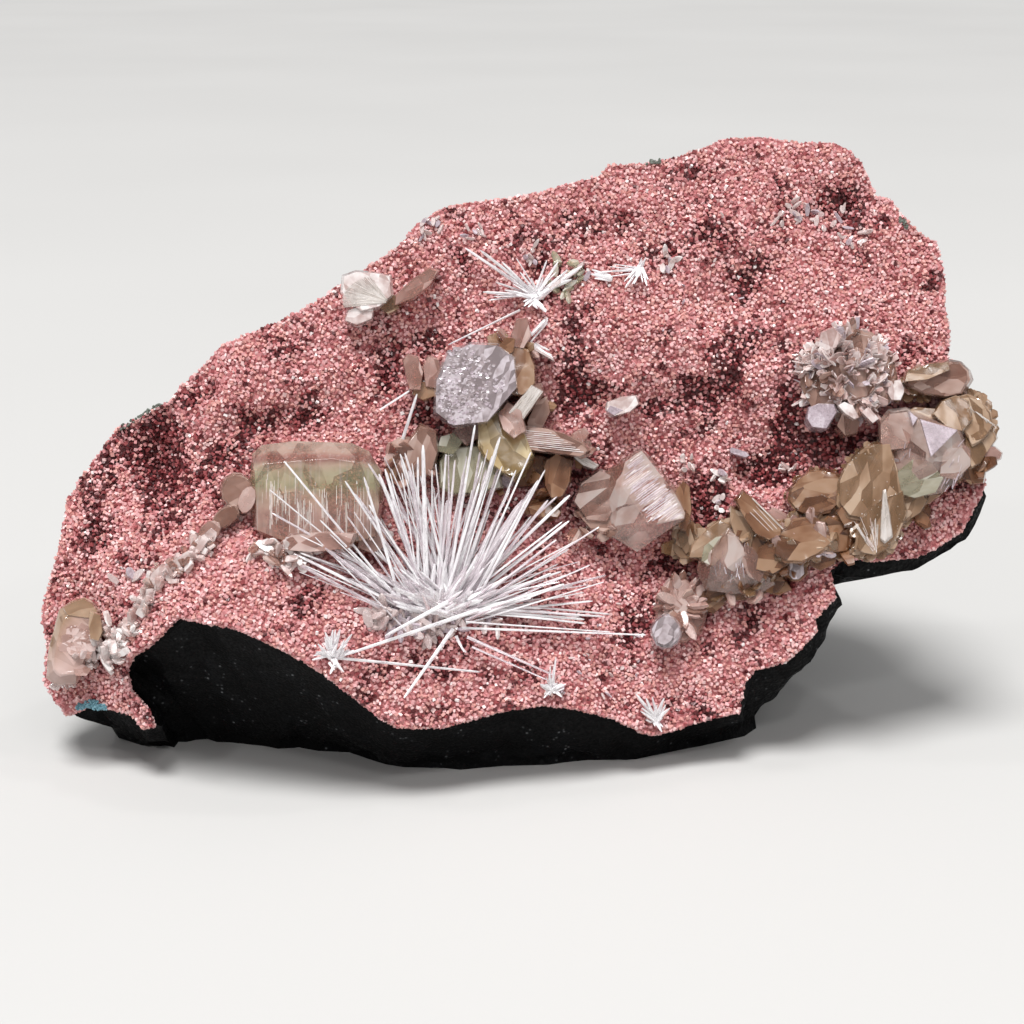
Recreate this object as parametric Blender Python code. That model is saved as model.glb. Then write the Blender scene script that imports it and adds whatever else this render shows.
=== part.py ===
"""Scolecite sprays with apophyllite and stilbite on a pink heulandite druse over basalt.

The crystal face of the stone leans back. Places on it are given in millimetres as
(across, up, proud): across to the right, up along the lean, proud out of the face.
World units are metres, +Z is up, and the stone rests on the plane Z = 0.
"""
import math
import random

import bmesh
import bpy
from mathutils import Vector, noise
from mathutils.geometry import delaunay_2d_cdt

MM = 0.001
WELD = 0.00002

# Driving dimensions of the stone, in millimetres and degrees
FACE_LEAN = 24.0
FACE_FOOT = (-0.9, -33.2, 0.0)
CRUST_THICK = 2.2
GAP = 0.35
NET = 6.2
NET_SHIFT = 0.9
BACK_NET = 12.0
BACK_SHIFT = 3.0
BACK_DEPTH = 72.0
GRAIN_SWELL = 0.45
ROCK_SWELL = 1.3
ROCK_REACH = 15.0
BACK_ROUND = 26.0
SUNK = 2.6
SLAB_DEEP = 14.0
LARGE = 60.0
ROW_PITCH = 0.87

# Edge of the druse, as (across, up), anticlockwise from the left end
EDGE = [
    (-76.0, 31.0), (-76.5, 28.5), (-75.5, 24.0), (-76.0, 18.0), (-74.5, 15.0), (-72.0, 12.5),
    (-68.0, 14.0), (-64.5, 13.5), (-60.5, 12.5), (-58.5, 10.3), (-56.5, 10.8), (-57.5, 13.2),
    (-60.5, 16.5), (-61.0, 19.5), (-59.5, 21.8), (-56.0, 23.3), (-53.5, 25.0), (-51.0, 27.3),
    (-46.0, 26.2), (-41.5, 25.3), (-37.0, 23.3), (-32.5, 21.0), (-28.5, 18.5), (-24.0, 15.0),
    (-20.5, 12.0), (-17.5, 10.5), (-11.0, 10.5), (-5.5, 12.0), (-1.0, 13.2), (4.5, 14.0),
    (10.5, 13.4), (16.0, 12.0), (20.5, 9.8), (23.0, 9.3), (30.0, 11.4), (36.5, 13.0), (37.5, 17.5),
    (39.0, 19.7), (44.0, 21.0), (46.5, 23.2), (49.0, 26.0), (48.5, 27.8), (52.0, 31.3), (51.0, 35.5),
    (53.5, 37.7), (59.0, 37.3), (65.5, 38.0), (68.5, 39.3), (73.0, 42.3), (76.7, 49.0), (76.7, 53.0),
    (75.0, 58.0), (72.0, 64.0), (71.3, 71.0), (71.8, 75.6), (71.0, 80.3), (71.4, 83.0), (70.3, 90.0),
    (67.4, 91.9), (64.5, 94.7), (62.6, 97.5), (60.4, 98.0), (58.0, 103.5), (56.0, 105.7), (53.5, 107.0),
    (47.0, 107.0), (41.0, 107.8), (34.5, 107.0), (28.0, 104.3), (22.5, 102.8), (16.0, 102.4),
    (14.5, 100.4), (8.0, 98.4), (3.0, 97.0), (-2.0, 96.5), (-11.0, 94.8), (-15.5, 91.8), (-18.0, 88.2),
    (-21.5, 85.7), (-28.0, 81.5), (-31.0, 79.0), (-37.5, 75.2), (-46.5, 71.3), (-50.0, 67.2),
    (-52.7, 65.2), (-54.5, 62.5), (-59.0, 60.5), (-64.0, 58.8), (-65.5, 57.0), (-68.0, 53.5),
    (-70.5, 50.2), (-72.5, 47.0), (-73.0, 41.5), (-74.5, 35.0),
]

# How proud the druse stands, as (across, up, proud)
LEVELS = [
    (-75, 13, -11), (-59, 11, -3), (-70, 30, -6), (-51, 27, 19), (-38, 25, 16), (-27, 21, 15),
    (-17, 11, 7), (-4, 12, 5), (6, 14, 6), (-8, 25, 3), (24, 9, -5), (37, 13, -6), (24, 25, -7),
    (50, 38, -1), (20, 41, -7), (37, 46, -4), (76, 54, -5), (-70, 50, -6), (-45, 44, 4),
    (-20, 42, 1), (3, 42, -5), (60, 48, -4), (-45, 66, 2), (-22, 78, 1), (4, 92, -1),
    (30, 101, -3), (56, 103, -5), (70, 80, -5), (14, 70, -1), (45, 75, -1),
]
LEVEL_REACH = 10.0

# Swells and hollows, as (across, up, half width, half height, proud, turn in degrees)
SWELLS = [
    (-41, 66, 13, 6, 2.6, 20),
    (-60, 58, 8, 4, 1.6, 25),
    (-57, 52, 4.5, 7, -3.6, 0),
    (-68, 46, 6, 10, 1.2, 0),
    (-38, 56, 10, 5, -1.6, 15),
    (-19, 68, 3.5, 6, -2.6, 0),
    (-27, 72, 8, 5, 0.8, 20),
    (12, 76, 9, 8, 3.6, 0),
    (9, 63, 5, 5, -2.0, 0),
    (27, 71, 8, 6, 2.6, 0),
    (30, 62, 9, 4, -1.2, 0),
    (37, 81, 7, 5, -2.4, 40),
    (40, 92, 10, 6, 1.8, 20),
    (42, 54, 7, 7, -3.4, 30),
    (57, 71, 12, 9, 2.6, 0),
    (53, 96, 6, 4, -1.6, 0),
    (56, 101, 5, 4, 1.0, 0),
    (28, 40, 4, 5, -1.8, 0),
    (41, 33, 8, 3, -0.9, 0),
    (21, 26, 4, 4, -0.8, 0),
    (-64, 30, 6, 5, -0.8, 0),
    (-31, 31, 5, 4, -0.6, 0),
    (8, 30, 8, 5, 0.8, 0),
    (-8, 85, 8, 5, 1.0, 10),
    (-9, 74, 9, 4, -0.8, 0),
    (20, 92, 8, 5, 1.0, 0),
    (-6, 52, 7, 6, -1.0, 0),
]

# Stations around the basalt: the nearest edge point, then the middle and the back of the flank.
# Flank points are (X, Y, Z) from the face's foot, and those under Z = 0 are cut off flat.
STATIONS = [
    ((-76.0, 31.0), (-74, 32, 24), (-62, 54, 20)),
    ((-76.0, 18.0), (-72, 27, 6), (-60, 53, 6)),
    ((-68.0, 14.0), (-66, 23, -5), (-57, 53, -5)),
    ((-56.5, 10.8), (-55, 23, -5), (-51, 56, -8)),
    ((-51.0, 27.3), (-44, 23, -5), (-42, 60, -8)),
    ((-32.5, 21.0), (-32, 19, -5), (-28, 62, -8)),
    ((-11.0, 10.5), (-13, 14, -5), (-12, 62, -8)),
    ((4.5, 14.0), (4, 13, -5), (6, 62, -8)),
    ((23.0, 9.3), (22, 16, -6), (24, 60, -8)),
    ((37.5, 17.5), (40, 25, -4), (39, 58, -8)),
    ((51.0, 35.5), (49, 30, 20), (46, 60, 4)),
    ((68.5, 39.3), (62, 36, 31), (50, 62, 18)),
    ((76.7, 53.0), (70, 44, 46), (56, 64, 34)),
    ((70.3, 90.0), (67, 54, 68), (56, 68, 50)),
    ((58.0, 103.5), (55, 60, 84), (47, 72, 62)),
    ((41.0, 107.8), (39, 61, 88), (33, 74, 68)),
    ((14.5, 100.4), (14, 58, 84), (12, 74, 68)),
    ((-15.5, 91.8), (-16, 54, 78), (-15, 72, 64)),
    ((-31.0, 79.0), (-31, 48, 68), (-29, 68, 56)),
    ((-54.5, 62.5), (-52, 42, 54), (-46, 64, 44)),
    ((-70.5, 50.2), (-67, 40, 40), (-56, 60, 34)),
]

# Flat crystal outlines in a box one long and one wide, round shapes come from arcs
FORMS = {
    "block": [(-0.5, -0.36), (-0.4, -0.5), (0.4, -0.5), (0.5, -0.36),
              (0.5, 0.36), (0.4, 0.5), (-0.4, 0.5), (-0.5, 0.36)],
    "blade": [(-0.5, 0.0), (-0.34, -0.5), (0.3, -0.5), (0.5, -0.12), (0.46, 0.3), (0.2, 0.5), (-0.34, 0.5)],
    "disc": [(0.53 * math.cos(a * math.pi / 4), 0.53 * math.sin(a * math.pi / 4)) for a in range(8)],
    "fan": [(-0.5, -0.1), (-0.1, -0.36), (0.3, -0.5), (0.47, -0.25), (0.5, 0.1),
            (0.4, 0.42), (0.05, 0.5), (-0.5, 0.12)],
    "cut": [(-0.5, -0.25), (-0.28, -0.5), (0.25, -0.5), (0.5, -0.28), (0.5, 0.22),
            (0.26, 0.5), (-0.3, 0.5), (-0.5, 0.26)],
    "peak": [(-0.5, -0.1), (-0.08, -0.5), (0.42, -0.34), (0.5, 0.1), (0.16, 0.5), (-0.36, 0.4)],
}

# Crystals of each cluster: form, across, up, length, width, turn, height above the druse, tip slope.
# The height is at the crystal's middle, and the slope is how much it rises along its length.
CLUSTERS = {
    "stilbite_left_crystal": [
        ("block", -70.8, 24.5, 14.0, 6.2, 70, 4.6, 0.10),
        ("disc", -73.4, 18.2, 3.8, 3.2, 10, 2.6, 0.0),
        ("disc", -70.6, 18.0, 3.2, 2.6, 80, 2.2, 0.0),
    ],
    "heulandite_trail": [
        ("blade", -62.4, 25.1, 6.0, 2.8, 30, 1.7, 0.0),
        ("blade", -60.0, 26.8, 6.6, 3.0, 46, 1.9, 0.0),
        ("blade", -57.4, 30.0, 6.6, 3.0, 56, 2.0, 0.1),
        ("blade", -55.4, 33.6, 5.4, 2.8, 66, 1.7, 0.0),
        ("blade", -53.0, 37.0, 5.6, 3.0, 42, 1.8, 0.1),
        ("blade", -50.0, 39.8, 5.6, 2.6, 40, 1.6, 0.0),
    ],
    "stilbite_left_discs": [
        ("blade", -45.0, 45.0, 6.4, 3.2, 42, 2.6, 0.1),
        ("disc", -43.8, 48.6, 5.2, 4.6, 20, 3.4, 0.1),
    ],
    "apophyllite_green_block": [
        ("block", -31.0, 47.8, 20.6, 15.0, 0, 5.4, 0.0),
        ("disc", -22.6, 41.6, 4.0, 4.6, 70, 3.2, 0.0),
        ("cut", -33.4, 39.4, 8.0, 4.2, 8, 3.0, 0.0),
        ("blade", -37.8, 40.4, 4.6, 3.0, -20, 2.2, 0.0),
    ],
    "stilbite_pair": [
        ("blade", -16.0, 68.4, 6.0, 2.5, 96, 4.2, 0.2),
        ("blade", -13.8, 67.9, 5.8, 2.5, 84, 3.8, 0.1),
        ("disc", -14.9, 66.4, 3.4, 3.2, 0, 2.6, 0.0),
    ],
    "centre_crystals": [
        ("cut", -6.0, 65.2, 13.2, 13.0, 8, 6.6, 0.0),
        ("disc", 1.8, 69.2, 7.4, 4.8, 84, 4.8, 0.0),
        ("disc", -1.8, 57.0, 12.2, 8.4, 108, 5.4, 0.1),
        ("blade", 1.3, 73.6, 7.0, 2.8, 80, 4.8, 0.1),
        ("block", 2.0, 63.8, 6.8, 2.3, 42, 7.4, 0.0),
        ("disc", 4.2, 62.0, 6.6, 4.2, 60, 3.4, 0.0),
        ("fan", 6.8, 56.9, 12.2, 3.9, -14, 5.8, 0.1),
        ("blade", 7.2, 52.0, 8.6, 4.3, 80, 4.6, 0.0),
        ("disc", 5.8, 47.2, 4.2, 5.2, 0, 3.0, 0.0),
        ("peak", 3.0, 52.8, 5.4, 5.0, 0, 3.2, 0.0),
        ("cut", -7.6, 52.6, 9.2, 7.4, 0, 4.2, 0.0),
        ("blade", -13.6, 55.6, 8.0, 6.0, 80, 3.2, 0.0),
    ],
    "apophyllite_striated": [
        ("cut", 19.6, 46.8, 16.4, 12.0, -48, 6.4, 0.12),
        ("disc", 12.4, 47.6, 7.4, 6.4, 30, 3.8, 0.0),
        ("blade", 27.9, 44.2, 11.4, 2.3, 96, 4.6, 0.0),
    ],
    "chain_left": [
        ("disc", 26.6, 33.2, 6.4, 6.0, 30, 4.6, 0.1),
        ("peak", 26.8, 29.2, 10.4, 6.4, 96, 2.0, 0.0),
        ("disc", 24.6, 25.6, 5.4, 4.9, 60, 5.8, 0.0),
        ("blade", 24.6, 29.0, 5.6, 4.4, 60, 4.2, 0.0),
        ("blade", 28.8, 26.6, 8.0, 3.6, 96, 4.4, 0.0),
        ("blade", 28.0, 36.6, 6.0, 3.0, 104, 4.0, 0.1),
        ("blade", 28.4, 41.0, 5.0, 3.8, 60, 3.4, 0.0),
        ("blade", 32.3, 40.6, 7.4, 3.2, 40, 4.0, 0.0),
        ("block", 39.9, 44.0, 10.4, 3.8, -42, 6.8, 0.0),
        ("peak", 35.2, 37.0, 11.4, 10.2, 76, 6.6, 0.0),
        ("disc", 41.6, 38.0, 9.0, 6.2, -20, 4.4, 0.0),
        ("peak", 42.0, 41.2, 9.0, 6.0, 20, 3.0, 0.0),
        ("disc", 47.6, 40.4, 9.4, 7.0, 4, 5.2, 0.0),
        ("block", 45.8, 35.2, 3.4, 3.6, 84, 3.4, 0.0),
        ("blade", 49.8, 38.6, 4.4, 2.0, 32, 5.0, 0.0),
    ],
    "chain_right": [
        ("disc", 49.4, 48.0, 10.4, 7.0, 12, 5.0, 0.0),
        ("disc", 53.4, 41.0, 5.2, 5.6, 70, 3.2, 0.0),
        ("cut", 57.6, 47.0, 17.4, 9.4, 76, 6.2, 0.0),
        ("disc", 63.4, 46.6, 9.4, 6.4, 60, 4.4, 0.0),
        ("block", 60.2, 44.0, 8.8, 1.6, 88, 7.0, 0.0),
        ("cut", 66.4, 54.2, 13.8, 13.0, -30, 8.4, 0.1),
        ("disc", 73.4, 58.8, 12.4, 7.6, -58, 6.6, 0.1),
        ("blade", 76.2, 54.6, 5.0, 2.6, -8, 5.0, 0.0),
    ],
    "stilbite_edge_wedge": [
        ("fan", 69.0, 66.8, 11.6, 6.6, 8, 5.6, 0.1),
        ("blade", 66.0, 65.0, 6.6, 3.4, -24, 4.0, 0.0),
    ],
    "heulandite_rosette": [
        ("disc", 50.4, 74.0, 6.0, 4.6, 70, 4.0, 0.1),
        ("blade", 55.0, 72.6, 6.2, 4.0, 20, 4.6, 0.2),
        ("blade", 47.8, 69.8, 6.4, 4.6, 150, 3.8, 0.2),
        ("blade", 53.6, 68.0, 7.0, 4.8, 100, 5.4, 0.1),
        ("blade", 60.2, 68.4, 7.2, 4.6, 30, 4.2, 0.2),
        ("disc", 48.8, 65.0, 5.4, 4.8, 0, 4.6, 0.1),
        ("blade", 56.4, 64.2, 7.4, 4.2, -40, 5.0, 0.1),
        ("cut", 50.0, 60.4, 5.2, 3.8, 14, 5.0, 0.0),
        ("disc", 54.8, 59.6, 4.8, 4.2, 0, 4.4, 0.0),
        ("blade", 60.0, 63.2, 4.8, 3.4, 60, 3.6, 0.1),
        ("disc", 54.4, 67.0, 15.0, 13.0, 0, 1.4, 0.0),
    ],
    "stilbite_fan": [
        ("fan", -23.4, 80.4, 8.2, 6.8, 128, 4.6, 0.1),
        ("blade", -24.8, 76.2, 4.8, 2.3, 12, 2.6, 0.0),
        ("blade", -15.8, 81.4, 8.6, 2.7, 34, 3.8, 0.1),
        ("peak", -20.6, 78.6, 8.6, 4.0, 22, 2.2, 0.0),
    ],
    "glassy_chip": [
        ("cut", 17.8, 62.6, 5.2, 2.9, 22, 2.6, 0.1),
    ],
    "white_chip": [
        ("block", 37.2, 55.0, 3.4, 1.3, -14, 2.2, 0.0),
    ],
}

# Neighbours that a cluster keeps clear of
KEEP_CLEAR = {
    "heulandite_trail": ["stilbite_left_crystal"],
    "apophyllite_green_block": ["stilbite_left_discs"],
    "centre_crystals": ["stilbite_pair"],
    "chain_left": ["apophyllite_striated"],
    "chain_right": ["chain_left", "heulandite_rosette"],
    "stilbite_edge_wedge": ["heulandite_rosette", "chain_right"],
}
CLUSTER_ORDER = [
    "stilbite_left_crystal", "heulandite_trail", "stilbite_left_discs", "apophyllite_green_block",
    "stilbite_pair", "centre_crystals", "apophyllite_striated", "chain_left", "heulandite_rosette",
    "chain_right", "stilbite_edge_wedge", "stilbite_fan", "glassy_chip", "white_chip",
]

# Sprays: the root as (across, up), the radius of its knot, and each needle's tip as
# (across, up, height above the druse at the tip, width)
SPRAYS = {
    "scolecite_spray_main": {
        "root": (-10.6, 29.2), "knot": 3.2, "root_height": 1.4,
        "needles": [
            (-40.1, 39.0, 3.4, 0.6), (-37.2, 46.4, 9.4, 0.7), (-34.7, 50.8, 11.3, 1.0), (-32.4, 36.7, 3.2, 0.6),
            (-32.3, 34.4, 2.5, 0.6), (-25.5, 47.8, 11.1, 0.7), (-22.5, 48.4, 11.8, 0.7), (-20.2, 49.0, 11.7, 0.7),
            (-19.2, 50.2, 11.0, 0.7), (-17.1, 50.2, 8.9, 0.8), (-14.6, 52.2, 9.1, 0.8), (-14.0, 53.8, 9.8, 0.8),
            (-10.4, 51.9, 10.2, 0.8), (-9.6, 46.4, 10.3, 0.7), (-8.1, 49.5, 11.6, 0.7), (-5.8, 57.5, 10.7, 0.8),
            (-1.9, 55.5, 12.9, 1.3), (3.0, 53.2, 12.4, 0.9), (4.1, 48.8, 12.8, 0.8), (9.1, 46.6, 12.3, 0.8),
            (8.6, 42.7, 11.7, 0.9), (10.3, 39.6, 11.2, 0.8), (12.2, 35.7, 10.9, 0.8), (13.8, 33.0, 9.6, 0.7),
            (8.3, 32.6, 8.5, 0.9), (-22.6, 22.2, 4.6, 0.9), (-19.2, 24.4, 5.2, 1.1), (-16.3, 14.0, 7.0, 0.9),
            (6.3, 17.8, 3.4, 0.7), (21.1, 25.1, 5.4, 0.6), (-22.0, 41.6, 12.0, 0.9), (-14.4, 44.0, 14.0, 1.0),
            (-3.4, 44.6, 14.0, 1.1), (2.0, 40.6, 14.0, 1.0), (4.4, 35.4, 13.0, 0.9), (-18.8, 36.6, 13.0, 0.9),
            (-8.6, 38.6, 16.0, 1.0), (-9.8, 46.6, 12.0, 0.9),
        ],
    },
    "scolecite_spray_left": {
        "root": (-26.8, 21.4), "knot": 1.9, "root_height": 0.8,
        "needles": [
            (-28.2, 24.8, 2.4, 0.6), (-26.0, 25.1, 3.0, 0.8), (-24.2, 24.5, 3.2, 0.7),
            (-6.5, 19.0, 1.4, 0.5), (-29.5, 21.8, 1.6, 0.7),
        ],
    },
    "scolecite_spray_top": {
        "root": (4.0, 79.2), "knot": 1.8, "root_height": 1.0,
        "needles": [
            (-7.6, 87.1, 2.6, 0.7), (-5.1, 86.6, 3.4, 0.8), (-4.7, 80.0, 2.4, 0.6), (-1.1, 80.4, 2.6, 0.8),
            (-10.3, 71.4, 2.4, 0.4), (0.5, 70.1, 3.6, 0.5), (6.6, 69.3, 2.4, 0.4), (7.4, 85.0, 2.4, 0.7),
            (11.3, 84.2, 2.6, 1.6),
        ],
    },
    "scolecite_spray_small": {
        "root": (21.4, 83.0), "knot": 1.0, "root_height": 0.6,
        "needles": [
            (18.6, 80.8, 2.0, 0.5), (22.0, 81.0, 2.0, 0.5), (14.0, 84.2, 1.4, 0.5), (21.8, 86.0, 1.8, 0.4),
        ],
    },
    "scolecite_tuft_lower": {
        "root": (6.0, 17.0), "knot": 1.3, "root_height": 0.6,
        "needles": [(5.4, 20.4, 2.6, 0.6), (8.4, 17.8, 2.0, 0.6)],
    },
    "scolecite_tuft_right": {
        "root": (22.9, 12.8), "knot": 1.4, "root_height": 0.6,
        "needles": [(20.3, 15.8, 2.6, 0.6), (24.4, 15.0, 2.6, 0.7)],
    },
    "scolecite_long_needle": {
        "root": (-19.6, 50.8), "knot": 1.2, "root_height": 0.6,
        "needles": [(-15.0, 62.8, 5.0, 0.5)],
    },
}
SPRAY_CLEAR = {
    "scolecite_spray_main": ["apophyllite_green_block", "centre_crystals", "apophyllite_striated"],
    "scolecite_spray_top": ["centre_crystals"],
    "scolecite_long_needle": ["apophyllite_green_block", "centre_crystals"],
}

# Colour, roughness and light let through of each substance
SUBSTANCES = {
    "basalt": ("#14151a", 0.75, 0.0),
    "heulandite druse": ("#c9878a", 0.45, 0.0),
    "stilbite": ("#cdb498", 0.35, 0.3),
    "apophyllite": ("#c8c9b6", 0.12, 0.7),
    "heulandite blades": ("#d4c6c2", 0.18, 0.6),
    "scolecite": ("#ece8ea", 0.25, 0.3),
}


def clear_scene():
    """Remove every object that the file starts with."""
    for item in list(bpy.data.objects):
        bpy.data.objects.remove(item, do_unlink=True)


def to_linear(hex_colour):
    """Turn an sRGB hex colour into linear RGBA."""
    parts = [int(hex_colour[i:i + 2], 16) / 255 for i in (1, 3, 5)]
    return [p / 12.92 if p <= 0.04045 else ((p + 0.055) / 1.055) ** 2.4 for p in parts] + [1.0]


def substance(name):
    """Make, or find, the material of one substance."""
    found = bpy.data.materials.get(name)
    if found:
        return found
    colour, rough, clear = SUBSTANCES[name]
    made = bpy.data.materials.new(name)
    made.use_nodes = True
    shader = made.node_tree.nodes["Principled BSDF"]
    shader.inputs["Base Color"].default_value = to_linear(colour)
    shader.inputs["Roughness"].default_value = rough
    shader.inputs["Transmission Weight"].default_value = clear
    shader.inputs["Metallic"].default_value = 0.0
    return made


LEAN = math.radians(FACE_LEAN)
UPWARD = Vector((0.0, math.sin(LEAN), math.cos(LEAN)))
OUTWARD = Vector((0.0, -math.cos(LEAN), math.sin(LEAN)))
FOOT = Vector(FACE_FOOT)


def on_face(across, up, proud):
    """World place, in metres, of a place on the face."""
    return (FOOT + Vector((across, 0.0, 0.0)) + UPWARD * up + OUTWARD * proud) * MM


def level(across, up):
    """Broad height of the druse between the places where it is known."""
    total = weight = 0.0
    for at_across, at_up, proud in LEVELS:
        near = (across - at_across) ** 2 + (up - at_up) ** 2
        share = math.exp(-near / (2 * LEVEL_REACH ** 2)) + 1e-9
        total += share * proud
        weight += share
    return total / weight


def relief(across, up):
    """Height of the druse with its swells and hollows."""
    proud = level(across, up)
    for at_across, at_up, half_wide, half_high, rise, turn in SWELLS:
        cos_turn = math.cos(math.radians(turn))
        sin_turn = math.sin(math.radians(turn))
        along = (across - at_across) * cos_turn + (up - at_up) * sin_turn
        beside = (up - at_up) * cos_turn - (across - at_across) * sin_turn
        proud += rise * math.exp(-(along / half_wide) ** 2 - (beside / half_high) ** 2)
    return proud


def walked(outline, step):
    """Points about one step apart along a closed outline, with its corners kept."""
    points = []
    for start, end in zip(outline, outline[1:] + outline[:1]):
        pieces = max(1, round(math.dist(start, end) / step))
        for piece in range(pieces):
            share = piece / pieces
            points.append((start[0] + (end[0] - start[0]) * share, start[1] + (end[1] - start[1]) * share))
    return points


def outward_turns(outline):
    """The direction out of an anticlockwise outline at each of its points."""
    turns = []
    for before, after in zip(outline[-1:] + outline[:-1], outline[1:] + outline[:1]):
        along = Vector((after[0] - before[0], after[1] - before[1])).normalized()
        turns.append(Vector((along.y, -along.x)))
    return turns


def inside(point, outline):
    """Whether a point is inside a closed outline."""
    crossings = False
    for start, end in zip(outline, outline[1:] + outline[:1]):
        if (start[1] > point[1]) != (end[1] > point[1]):
            meet = start[0] + (point[1] - start[1]) * (end[0] - start[0]) / (end[1] - start[1])
            if point[0] < meet:
                crossings = not crossings
    return crossings


def face_net():
    """Triangulate the face: rim points first, then a loose net of points inside them."""
    chance = random.Random(11)
    rim = walked(EDGE, NET)
    while len(rim) % 4:
        longest = max(range(len(rim)), key=lambda i: math.dist(rim[i - 1], rim[i]))
        before, after = rim[longest - 1], rim[longest]
        rim.insert(longest, ((before[0] + after[0]) / 2, (before[1] + after[1]) / 2))
    points = list(rim)
    low = (min(p[0] for p in rim), min(p[1] for p in rim))
    high = (max(p[0] for p in rim), max(p[1] for p in rim))
    for row in range(int((high[1] - low[1]) / (NET * ROW_PITCH)) + 1):
        for column in range(int((high[0] - low[0]) / NET) + 1):
            across = low[0] + (column + 0.5 * (row % 2)) * NET + chance.uniform(-NET_SHIFT, NET_SHIFT)
            up = low[1] + row * NET * ROW_PITCH + chance.uniform(-NET_SHIFT, NET_SHIFT)
            if inside((across, up), rim) and min(math.dist((across, up), p) for p in rim) > NET * 0.55:
                points.append((across, up))
    ring = [(i, (i + 1) % len(rim)) for i in range(len(rim))]
    net = delaunay_2d_cdt([Vector(p) for p in points], ring, [list(range(len(rim)))], 1, 1e-4)
    places = [(p.x, p.y) for p in net[0]]
    triangles = [list(reversed(t)) if turned_over(places, t) else list(t) for t in net[2]]
    return places, triangles, len(rim)


def turned_over(places, triangle):
    """Whether a triangle runs clockwise."""
    (ax, ay), (bx, by), (cx, cy) = (places[i] for i in triangle)
    return (bx - ax) * (cy - ay) - (by - ay) * (cx - ax) < 0


def grain_swell(across, up):
    """Small unevenness of the druse surface."""
    return GRAIN_SWELL * noise.noise(Vector((across, up, 3.0)) * 0.42) * 1.6


def mesh_object(name, mesh_or_bm, material=None):
    """Put a mesh into the scene as a named object."""
    if isinstance(mesh_or_bm, bmesh.types.BMesh):
        mesh = bpy.data.meshes.new(name)
        mesh_or_bm.to_mesh(mesh)
        mesh_or_bm.free()
    else:
        mesh = mesh_or_bm
        mesh.name = name
    made = bpy.data.objects.new(name, mesh)
    bpy.context.collection.objects.link(made)
    if material:
        mesh.materials.clear()
        mesh.materials.append(substance(material))
    return made


def face_slab(net, front, back, spread=0.0):
    """A closed slab that follows the face, from front to back heights above the relief."""
    places, triangles, rim_count = net
    turns = outward_turns(places[:rim_count])
    bm = bmesh.new()
    sides = []
    for height in (front, back):
        side = []
        for index, (across, up) in enumerate(places):
            proud = relief(across, up) + grain_swell(across, up) + height
            if index < rim_count:
                across += turns[index].x * spread
                up += turns[index].y * spread
            side.append(bm.verts.new(on_face(across, up, proud)))
        sides.append(side)
    for triangle in triangles:
        bm.faces.new([sides[0][i] for i in triangle])
        bm.faces.new([sides[1][i] for i in reversed(triangle)])
    for i in range(rim_count):
        j = (i + 1) % rim_count
        bm.faces.new([sides[0][j], sides[0][i], sides[1][i], sides[1][j]])
    bmesh.ops.recalc_face_normals(bm, faces=bm.faces)
    return bm


def make_crust(net):
    """The druse of heulandite grains, a skin over the basalt."""
    bm = face_slab(net, 0.0, -CRUST_THICK)
    return mesh_object("druse_crust", bm, "heulandite druse")


def station_ring(rim, column):
    """One flank ring, matched to the rim between the stations and rounded a little."""
    anchors = []
    for station in STATIONS:
        nearest = min(range(len(rim)), key=lambda i: math.dist(rim[i], station[0]))
        anchors.append((nearest, Vector(station[column])))
    anchors.sort(key=lambda anchor: anchor[0])
    ring = [None] * len(rim)
    for (first, start), (last, end) in zip(anchors, anchors[1:] + anchors[:1]):
        steps = (last - first) % len(rim)
        for step in range(steps):
            ring[(first + step) % len(rim)] = start.lerp(end, step / steps)
    for _ in range(3):
        ring = [(a + b * 2 + c) / 4 for a, b, c in zip(ring[-1:] + ring[:-1], ring, ring[1:] + ring[:1])]
    return ring


def lip_ring(rim, turns):
    """Broken edge of the basalt behind the crust, which shows bare along the lower right."""
    ring = []
    for (across, up), turn in zip(rim, turns):
        bare = max(0.0, min(1.0, (across - 32) / 8)) * max(0.0, min(1.0, -turn.y * 2))
        taper = 1 - 0.35 * max(0.0, min(1.0, (across - 54) / 8))
        out = 0.5 + 3.0 * bare * taper
        proud = relief(across, up) - CRUST_THICK - GAP - 2.6
        ring.append(on_face(across + turn.x * out, up + turn.y * out, proud) / MM)
    return ring


def broken(point, chance, rough):
    """A point of the rock, shifted as a fresh break would leave it."""
    swell = Vector([noise.noise(point / ROCK_REACH + Vector((9.3, 1.5, 7.9)) * axis) for axis in range(3)])
    return point + swell * rough * 2.4 + Vector([chance.uniform(-rough, rough) for _ in range(3)]) * 0.7


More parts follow.
